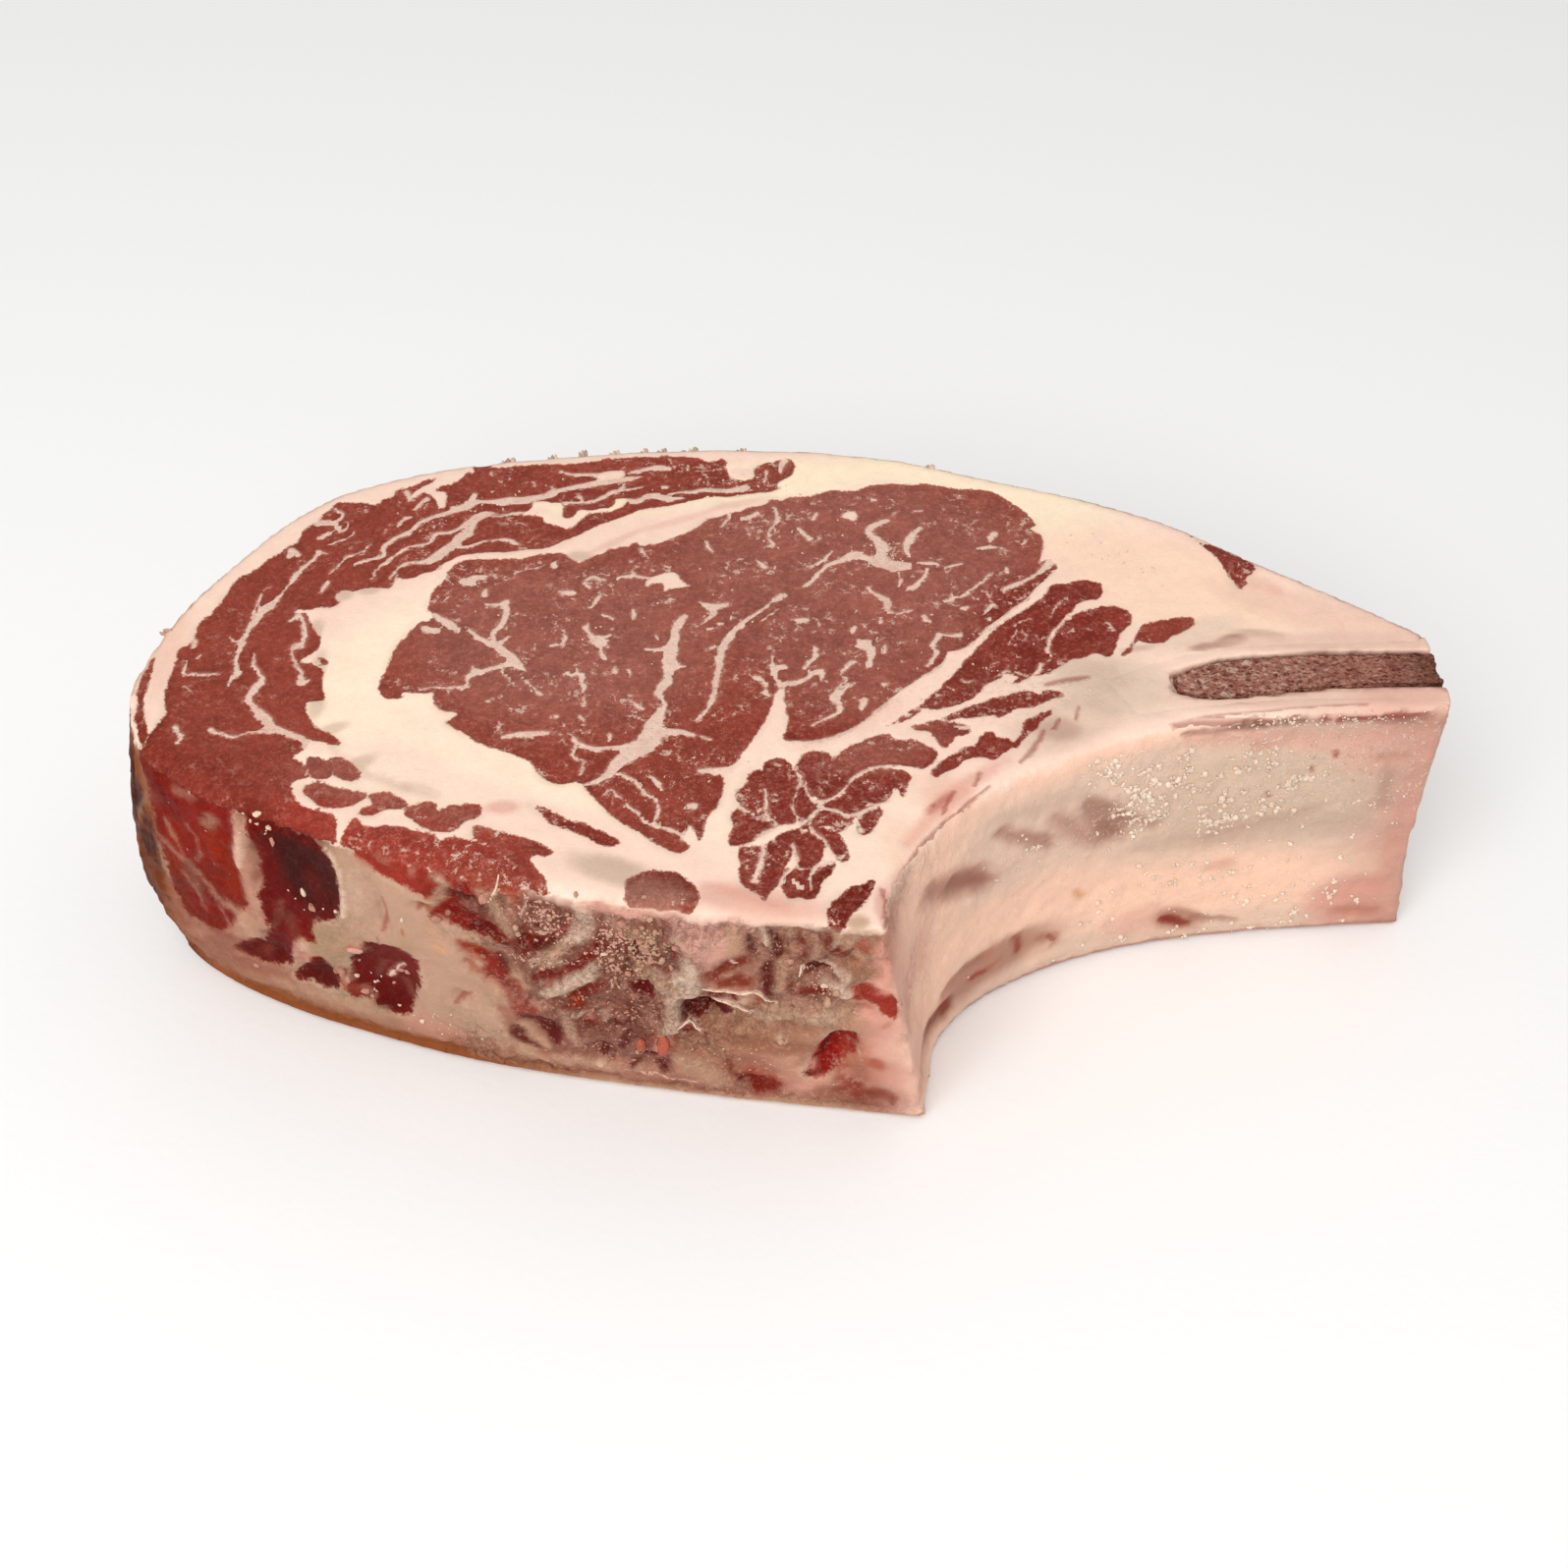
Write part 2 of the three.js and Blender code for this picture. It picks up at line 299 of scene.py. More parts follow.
# The cut face, seen from above: outlines of lean on a ground of fat, fat in it, and lean in that
cutFace = {
    "leans": """
eye -61.2,24.6 -59.8,26.6 -58,27.9 -56,27.8 -53,27.8 -50,27.9 -47.5,28.2 -46,28.8 -44,29.4 -42,29.6 \
-40.5,29.3 -39.4,28.3 -38.3,27.2 -37.5,26.8 -36.8,27.2 -35.3,28.5 -33.8,29.2 -32.5,30.4 -30.8,31 -29,31.5 \
-28,32.4 -27,32.6 -26.3,32 -25,32.3 -24.2,31.8 -22.5,33 -20.5,34.1 -19,35.1 -17.7,36 -16.3,37 -15.5,38.3 \
-14,39.8 -12,40.3 -10.8,40.9 -9.5,41.5 -8.5,41.8 -7.3,42.4 -6.5,43.2 -5,43.4 -3.5,44.3 -2.5,45.3 -.5,45.5 \
1,46 3.5,46.3 5.5,46.6 7,47.5 8.5,48.3 10.5,48.3 12.5,48.2 14,48.5 15.5,49.2 17,49.9 19,50.3 21,50.3 \
23.5,50.2 26,50.3 28.5,50 30.5,49.4 32.5,48.8 35,48.5 37.5,48.3 39.3,47.8 40.8,46.8 42,45.5 42.8,44.2 \
44,43.3 44.8,42 45.8,40.7 46.7,39 46.8,37.4 45.9,36.5 46.7,35.7 47.6,34.5 47.9,33 47.7,31 47.2,29.3 \
46.9,27.8 46.2,26.6 48.5,27.5 49.8,26.5 49.3,24 47.5,21.8 46,20 45,18.4 43.8,16.2 42,14.5 40.3,12.6 \
38.3,10.5 36.3,8.5 34.8,6.3 33.3,4 31,2.6 29,2.5 28.5,1.2 28,-.8 26.3,-2.8 24,-4.6 22,-6.5 20,-8 18.5,-10 \
17.3,-12 15.5,-14 13,-16.3 11.5,-18 9,-19.4 5,-20.5 2,-20.3 .3,-20 0,-19 .6,-17 .8,-15 .3,-12 0,-10 .2,-8 \
-.3,-6.5 -1.7,-9 -2,-11 -2.5,-13 -3.3,-15.5 -4.3,-17.5 -5.5,-20 -7,-22.5 -8,-24.8 -9.3,-26.2 -11,-26.6 \
-13,-26.5 -10.7,-28.3 -10.2,-30 -10.5,-33 -11,-35.5 -12.3,-37.3 -12.9,-39 -13.3,-42.5 -13.6,-43.4 \
-14.2,-41.5 -15,-40 -15.8,-41.5 -16.3,-43 -15.2,-44.8 -15.8,-45.9 -17,-46.2 -19,-45.2 -21,-43.8 -23,-42 \
-25.5,-40 -27.5,-38.3 -29.5,-36 -31,-34 -32.5,-32.2 -33.3,-30.8 -34.8,-30.2 -37,-30.6 -38.8,-30.2 -40,-29 \
-41.3,-27 -42.5,-25 -45,-23.7 -47.5,-22.5 -50.5,-21.3 -52.3,-20 -54.3,-18.3 -56,-17.1 -57.2,-16.2 \
-56.7,-15.2 -55.6,-13.2 -57.8,-13 -59.3,-12 -59.9,-10.8 -60.2,-9.5 -60.6,-8.4 -62.5,-8.6 -64.5,-8.5 \
-65.3,-8.2 -65.8,-8.9 -65.2,-9.5 -66,-9.8 -67.8,-9.9 -68.8,-9.4 -69.5,-8.3 -70,-7 -69.9,-5.5 -69.2,-3.5 \
-69,-1.5 -68.7,.3 -68.4,2.3 -67.9,4.2 -67,6 -66.3,7.6 -65.3,9.7 -64.3,10.6 -62.9,11.2 -62.9,12.7 -63.6,13.2 \
-63.9,15.3 -63.5,17.6 -62.9,19.6 -61.8,21.3 -61.3,23.2
cap -106,3.4 -104.6,4.5 -104.1,7.5 -104,10 -103,11.8 -102.2,12.4 -101.6,14.5 -100.8,17 -100,19.5 -99.5,21.3 \
-98.4,23.2 -96.9,24.2 -95.2,26.5 -92.8,29.8 -91,31.8 -89.9,33.4 -89.3,35.3 -88.6,37.2 -86.8,39.7 -86.4,41 \
-85.4,42.3 -84.2,44.3 -82,44.5 -79.5,44.6 -77.6,44.2 -76.9,43.8 -76.3,44.4 -75.9,45.6 -74,46.6 -73.2,48.4 \
-71.9,48.9 -70,49.7 -68.6,51 -67,51.8 -66.2,51.8 -67,50.6 -68.5,49.4 -70.4,47.2 -70.4,45.5 -68.3,47.6 \
-66.5,46.4 -65.4,44.5 -64.9,42.6 -64.2,42.6 -63.8,45.5 -64.4,48 -66,48.2 -65,49.6 -63.2,50.4 -62.3,51.5 \
-61.8,51.2 -61,53 -60.5,54 -59.5,53.6 -59.4,57.5 -57,58 -56.3,55.8 -54.9,55.2 -53.5,55.5 -51,56 -48,56.3 \
-45,56.4 -42,56.4 -38,57.2 -35,57.9 -32,58.3 -30,58.5 -28,58.7 -27,58.9 -24.5,58.6 -23.6,59.2 -21.5,58.8 \
-19.5,58.8 -17.5,58.5 -16,57.9 -14.5,57.2 -13,57.4 -12,58 -11,57 -11.2,55.5 -10.6,54 -10,52.7 -8.5,51.7 \
-7,51.6 -6,52.4 -5.5,53.6 -5.8,55 -5,56 -4,56.7 -2.5,57 -1,57.5 0,58 1.2,58 1.8,57 2.2,55.5 1.8,54 1.4,52.8 \
.5,51.8 -1,50.8 -1.5,48.6 -4,47.9 -6.5,47.3 -9,46.8 -11,46.5 -13.5,46.4 -15.5,46 -17,45.3 -18.5,44.6 \
-20,44.1 -22,43.6 -24,43.2 -26,42.7 -28,41.7 -30,40.4 -32,39.2 -34,38 -35.5,37 -37,35.6 -38.8,34.3 \
-40.5,33.3 -42,32 -44,31 -46.5,30.6 -49,30.2 -51,29.8 -54,29.7 -56.5,29.5 -58.5,29 -60,28.4 -61.3,27.3 \
-63.3,25.8 -62.6,25.2 -64.6,24.2 -66.3,23.4 -67.5,22.4 -69,22.3 -70,22.6 -70.4,23.7 -70.6,22.8 -70.8,21 \
-71.2,19.8 -73,19.8 -75.5,19.6 -77.5,18.6 -79.4,19 -80.6,18 -80.8,16.8 -79.9,15.8 -80,15 -81.5,14.3 \
-83.5,14.2 -85.3,13.3 -86.7,13.6 -87.6,12.6 -86,12.4 -85.2,12 -84.4,10.5 -83.5,8.3 -82.5,7 -81.8,6 -81.7,4.2 \
-82,3 -83,1.6 -84,.8 -84.3,-.3 -83,-.6 -82.2,-.8 -81,-1.6 -80.4,-1.9 -80.1,-3 -80,-5 -79.5,-7 -78.9,-8.8 \
-78.9,-10 -80,-10.4 -81.4,-10.6 -81.8,-11.3 -81.3,-13 -80.7,-14.6 -79.5,-16.5 -78,-17.8 -76.5,-18.6 -75,-20 \
-74.6,-21.2 -76,-21.2 -77.5,-20.6 -79.3,-20.3 -80.4,-21.5 -80.8,-23 -82,-24 -81.5,-24.8 -80.7,-25.5 \
-79.9,-27 -79.2,-28.8 -80.5,-29.2 -81.5,-31 -79,-35.5 -73,-38.5 -75,-45 -90,-42 -106,-32 -113,-22 -108.4,-20 \
-105.5,-13.8 -106.1,-11 -106.6,-8 -106.5,-4 -106.1,0 -106.3,1.8
capIsle -81.7,.5 -80.8,.9 -80,.3 -79.7,-.6 -80.4,-1 -81.2,-.3
rimStrip -110.4,1 -109.8,-3 -109.9,-9 -109,-14 -107.6,-18.5 -108.6,-21 -110.2,-17 -111.2,-11 -111.4,-4
lobeA -79.5,-24.2 -78,-24.3 -76,-25.5 -75,-27 -75.2,-28.5 -76.1,-29.3 -77.5,-29 -78.5,-28 -79.3,-26.3
lobeA2 -75.6,-24.4 -73.8,-24.6 -72,-26 -70.8,-27.5 -70.5,-29 -71.8,-29.5 -73.5,-29 -74.5,-27.8 -75,-26
lobeB -78.8,-31 -76.5,-30.3 -74,-31.5 -71,-32.3 -69.3,-32.8 -68.8,-33.5 -70,-34.8 -71.5,-35.6 -74,-36 \
-75.8,-35.6 -77.5,-34 -78.8,-32.5
lobeC -68.8,-36.5 -67,-35.8 -67.5,-34.3 -68,-33 -65.5,-32.8 -64,-33.5 -62.5,-34.5 -61.8,-35.5 -63,-36.1 \
-65,-36.1 -67,-37.5 -68.8,-37.5
lobeC2 -61.2,-36.3 -59,-35 -57.3,-35.3 -56.5,-37 -54.8,-35.8 -53,-35.5 -50.5,-35.5 -49.5,-36.5 -50,-38 \
-51.5,-38.5 -53.5,-40.8 -55,-41.3 -56.8,-41 -58.8,-39.8 -60.2,-38.5 -61.5,-37.5
lobeD -70.5,-39.5 -67.8,-40.5 -65,-40.3 -62.5,-40.5 -60,-41.3 -57,-42.3 -55.5,-43.3 -53.5,-42.6 -51,-43.2 \
-48,-44.4 -44,-47.8 -41,-50.5 -44,-55 -72,-52
lobeI -42,-35 -39.5,-36 -37,-37.5 -34.5,-39 -32,-39.8 -30,-41 -27.5,-42.5 -26.3,-43.5 -27,-44.5 -28.8,-44.7 \
-30.5,-43.8 -32.5,-42.3 -34.5,-41.3 -36.5,-40.5 -38.3,-39.3 -39.8,-37 -41.8,-35.3
lobeJ -50,-40.2 -47,-41 -44,-42 -41,-43 -38.5,-44.5 -37,-45.7 -38,-46.8 -40,-46.6 -40.5,-48 -38.5,-51 \
-37.5,-53 -38.2,-56 -42,-52.5 -44,-47.6 -47,-44.6 -50,-42.6
lobeO -25,-52.5 -23.5,-50.8 -20.5,-50 -17.5,-50.2 -15.5,-51.5 -14,-53.5 -13.3,-56 -15,-59 -20,-59 -24.5,-58
group1 47.3,18 48,20 49.5,20.8 51.5,20.9 53,21.7 54.5,22 56,21.8 57.3,20.8 57.6,19 57.2,17.4 56.3,16.6 \
54.8,16.3 53.3,15.7 52.3,14.6 51.3,13 50.3,12 49,9.3 47.3,6.8 46.5,4 46.8,1 46,-.5 44.7,-1.7 43.8,-3 \
42.3,-4.7 40.8,-5.7 39.2,-5.8 40.5,-4.2 39.7,-3.8 38.3,-3.3 37.5,-4.5 36,-5.6 35,-6 34.3,-7 33.8,-8 \
32.3,-9.7 30,-11.2 28,-11.9 26,-12.4 23.8,-11.9 23.3,-11.8 24,-10.5 25.3,-8.7 27,-7 28.3,-5 29.5,-3.5 \
30.3,-2 31.8,.3 33.3,2.3 35,4.8 36.5,7 38.3,9.4 40.5,11.3 42.5,13.2 44.5,15 46,16.5
group2 50.3,11.3 52,12.4 54,13.4 56,14.2 58,14.7 60,14.3 61.5,13.3 62,11.5 61.5,9.7 60.3,8.2 59.3,6.2 58.5,4 \
57.8,2 57,.8 55.5,1.6 54.2,2 52.5,.7 51.3,.3 50,0 48,-1.8 46,-3.2 43.8,-3.9 45,-1.2 46.8,.8 46.6,3 47,5 \
47.6,6.6 48.5,8 49.4,9.3
group3 63.2,8.6 64,9.7 66,10.3 68,11 70,11.5 72,11.7 73,11.2 73,9.8 71.5,8.3 70,7.2 68.3,6.2 66.8,4.7 66,5 \
65,4.5 64,4.6 62.5,5.2 61.5,3.8 60.7,2.3 59.2,1.6 61.3,4.5 62.3,6.8
edgePatch 75.3,35.3 77,32.8 78.3,32.3 80,31.8 81.3,30.8 82.5,29.3 84.2,28.3 86,26.5 86.2,25.2 85,23.5 \
84,22.5 83.8,20.7 82.5,19.6 81.8,21 80.8,23.5 80,26.5 79,29 77,31.8
strip1 21.8,-17 23,-16 25,-15.3 27,-14.4 28.8,-13.3 31,-12 33.5,-11 35.5,-9.8 38,-9 39.8,-8.3 41.5,-7.6 \
43,-8 43.8,-8.8 44.5,-8 46,-7.8 47.5,-8 48,-9.3 46,-10 44,-11 42.3,-12 40,-12.3 38.5,-13.3 37,-14.6 35.8,-14 \
34,-14.2 32,-14.6 30,-14.5 28.5,-15 27.5,-16
strip2 22,-17 24,-16 26,-15.3 28,-15.3 30,-16 31.5,-17 31,-18.5 29,-19 28.5,-20 27,-22 26.2,-21 25.3,-19 \
24.5,-18 23,-17.8
strip3 24.5,-28 25,-27 26,-25.3 27.5,-24 29,-23 30,-22 32,-21.3 32.5,-20.3 33,-19 34.5,-18 35.5,-18.5 \
36,-19.5 38,-19.8 38.5,-21 38,-22.3 36.5,-23.5 35,-24.9 33.5,-24.3 31.5,-24.5 30,-25.2 28.5,-26.8 26.5,-28 \
25,-29
strip4 38.5,-21 40,-19 40.5,-17 41,-15.3 43,-14 45,-12.8 46,-12.6 45.5,-13.8 44,-15 43,-17 41.5,-18.5 \
40,-20.5 39,-22
g1 -3.3,-26.5 -2.5,-25 -.8,-24.6 .5,-25.3 1.2,-27 2,-29 3,-30 4,-32 4.3,-33.5 3,-36 2,-38 1.3,-39.7 0,-39.3 \
-1.3,-37.8 -2.3,-35.5 -2.6,-33 -3,-30.5 -3.6,-28.5
g2 -5.3,-28 -4,-27.3 -3.3,-28.8 -3.6,-31 -3.2,-34 -4,-36 -6,-36 -7.3,-34.8 -7.5,-33 -6.8,-31.5 -5.7,-30.5 \
-5.8,-29
g3 -8,-37 -7,-36.2 -5.5,-36.6 -4,-37.3 -3,-36.8 -1.5,-38.5 -.8,-39.8 -3.3,-42 -5.5,-43.5 -8.3,-44.4 \
-8.5,-42.5 -7.8,-40.5 -8.3,-38.5
g4 -7,-45.5 -5,-45 -3.5,-44.8 -3.8,-47 -4.5,-50 -4.3,-53 -4.5,-55 -6,-53.5 -7,-51.5 -6.7,-48.5
g5 -3,-44.5 -1.5,-43 .5,-41.5 2.3,-41 2.5,-42.5 1.2,-44 1,-46 .5,-48 -.5,-50 -1,-52.5 -2.5,-55 -3,-56.4 \
-3.8,-54.5 -3.5,-51 -3,-48
g6 3.3,-42 5,-40.8 6.5,-40.6 7,-42 6.5,-44 6,-46 5.5,-48 4,-49.4 2.5,-49 2.2,-47 1.6,-45 2,-43.3
g7 7.3,-41 8.5,-42 9.5,-44 10.2,-46.5 9.8,-48 8.5,-47 7.8,-45 7,-43
g8 .5,-49.8 2.5,-50 5,-49.5 7,-48.3 8,-49 7.3,-50.8 6,-52.5 5.2,-55 4,-56 2.5,-55.5 1,-56 .2,-54.5 0,-52
g9 2.3,-26.5 3.5,-24 5,-23 6.5,-23 7.7,-23.8 8,-26 8.3,-29 9.5,-31.5 8,-33.5 6.8,-34 5.2,-33 4.3,-31 3.5,-29
g10 8.2,-28.5 8.5,-25 10,-22.8 12,-21.2 14,-19.8 16,-18.8 17.8,-18.6 18.5,-19.8 20.5,-19.8 22,-20 24,-21.3 \
25.5,-22.5 25.8,-24 24.8,-25.5 23.3,-26.8 22,-26.5 20,-26 17,-25.8 15,-26 12.5,-27.3 11,-29 9.8,-31 9,-32
g11 10,-31 11.5,-29 13,-27.6 15.5,-26.8 18,-27 20.3,-27.7 21,-29 20.3,-30.3 19.6,-33.2 18.7,-31 18,-31.2 \
17.5,-33 16.8,-34.6 14.5,-34.6 12.5,-34 10.8,-33
g12 2.5,-36 4.5,-34.5 6.5,-34.8 8.5,-34.3 10.5,-33.2 13,-34.8 13.2,-35.8 11.5,-37.5 10.5,-39.5 9,-41.2 8,-40 \
6.5,-39.8 5,-40.5 3.3,-40.3 2.7,-38.5
g13 12.3,-37 14.5,-35.5 15.8,-36.8 15,-39 13.7,-41.5 12.2,-41.5 12.3,-39
heel 6.8,-59 7.5,-57.3 9,-55.5 10.5,-54 12.5,-53 14,-52.2 14,-53 13.2,-55.5 12.3,-57.3 10.8,-58.8 10,-60.5 \
9,-64 7,-64
""",
    "fats": """
capPatch -47.2,44.8 -43,44.5 -41.8,44 -41.6,42 -41.3,40.6 -40.6,39.6 -39.8,39.9 -39,41 -38.3,42.2 -36.5,41.9 \
-34.5,42.6 -32.7,43 -31.9,44.5 -31.8,45.8 -29.8,45.5 -30.5,43 -32,42 -34.5,41.5 -36.8,40.8 -37.8,39.7 \
-38.8,38 -40,36.4 -41.5,37.3 -43.8,38.2 -45,39.2 -45.5,40.3 -46.8,40.8 -49,40.9 -48,42 -47.4,43
blob5 -24.5,22 -23,23.3 -21.5,23.9 -20,23.8 -19,22.5 -18,21 -17.2,20.2 -18,19.8 -19.5,19.8 -20.7,19.3 \
-21.6,18.7 -21.8,20.5 -22.8,21 -24,20.8 -25,20
blob1 10.7,40.3 11.7,41.7 13,42.1 13.8,41.5 13.7,40 13,39 12,39.5
capBlob -36,52 -35.2,53.4 -33.5,54.3 -31,54.5 -30.5,53.5 -31,52.2 -33,52 -35.5,51.6
""",
    "islands": """
wedge -41.5,42.6 -40.5,43.3 -39.5,43.3 -38.6,42.6 -39,41.2 -40.3,39.8 -41.3,40.2
lens 17.3,-16.5 19,-15.5 20.5,-14 21.5,-12.6 22.8,-12.1 23.1,-13 22,-14.3 20.5,-15.2 18.5,-16.2
""",
}

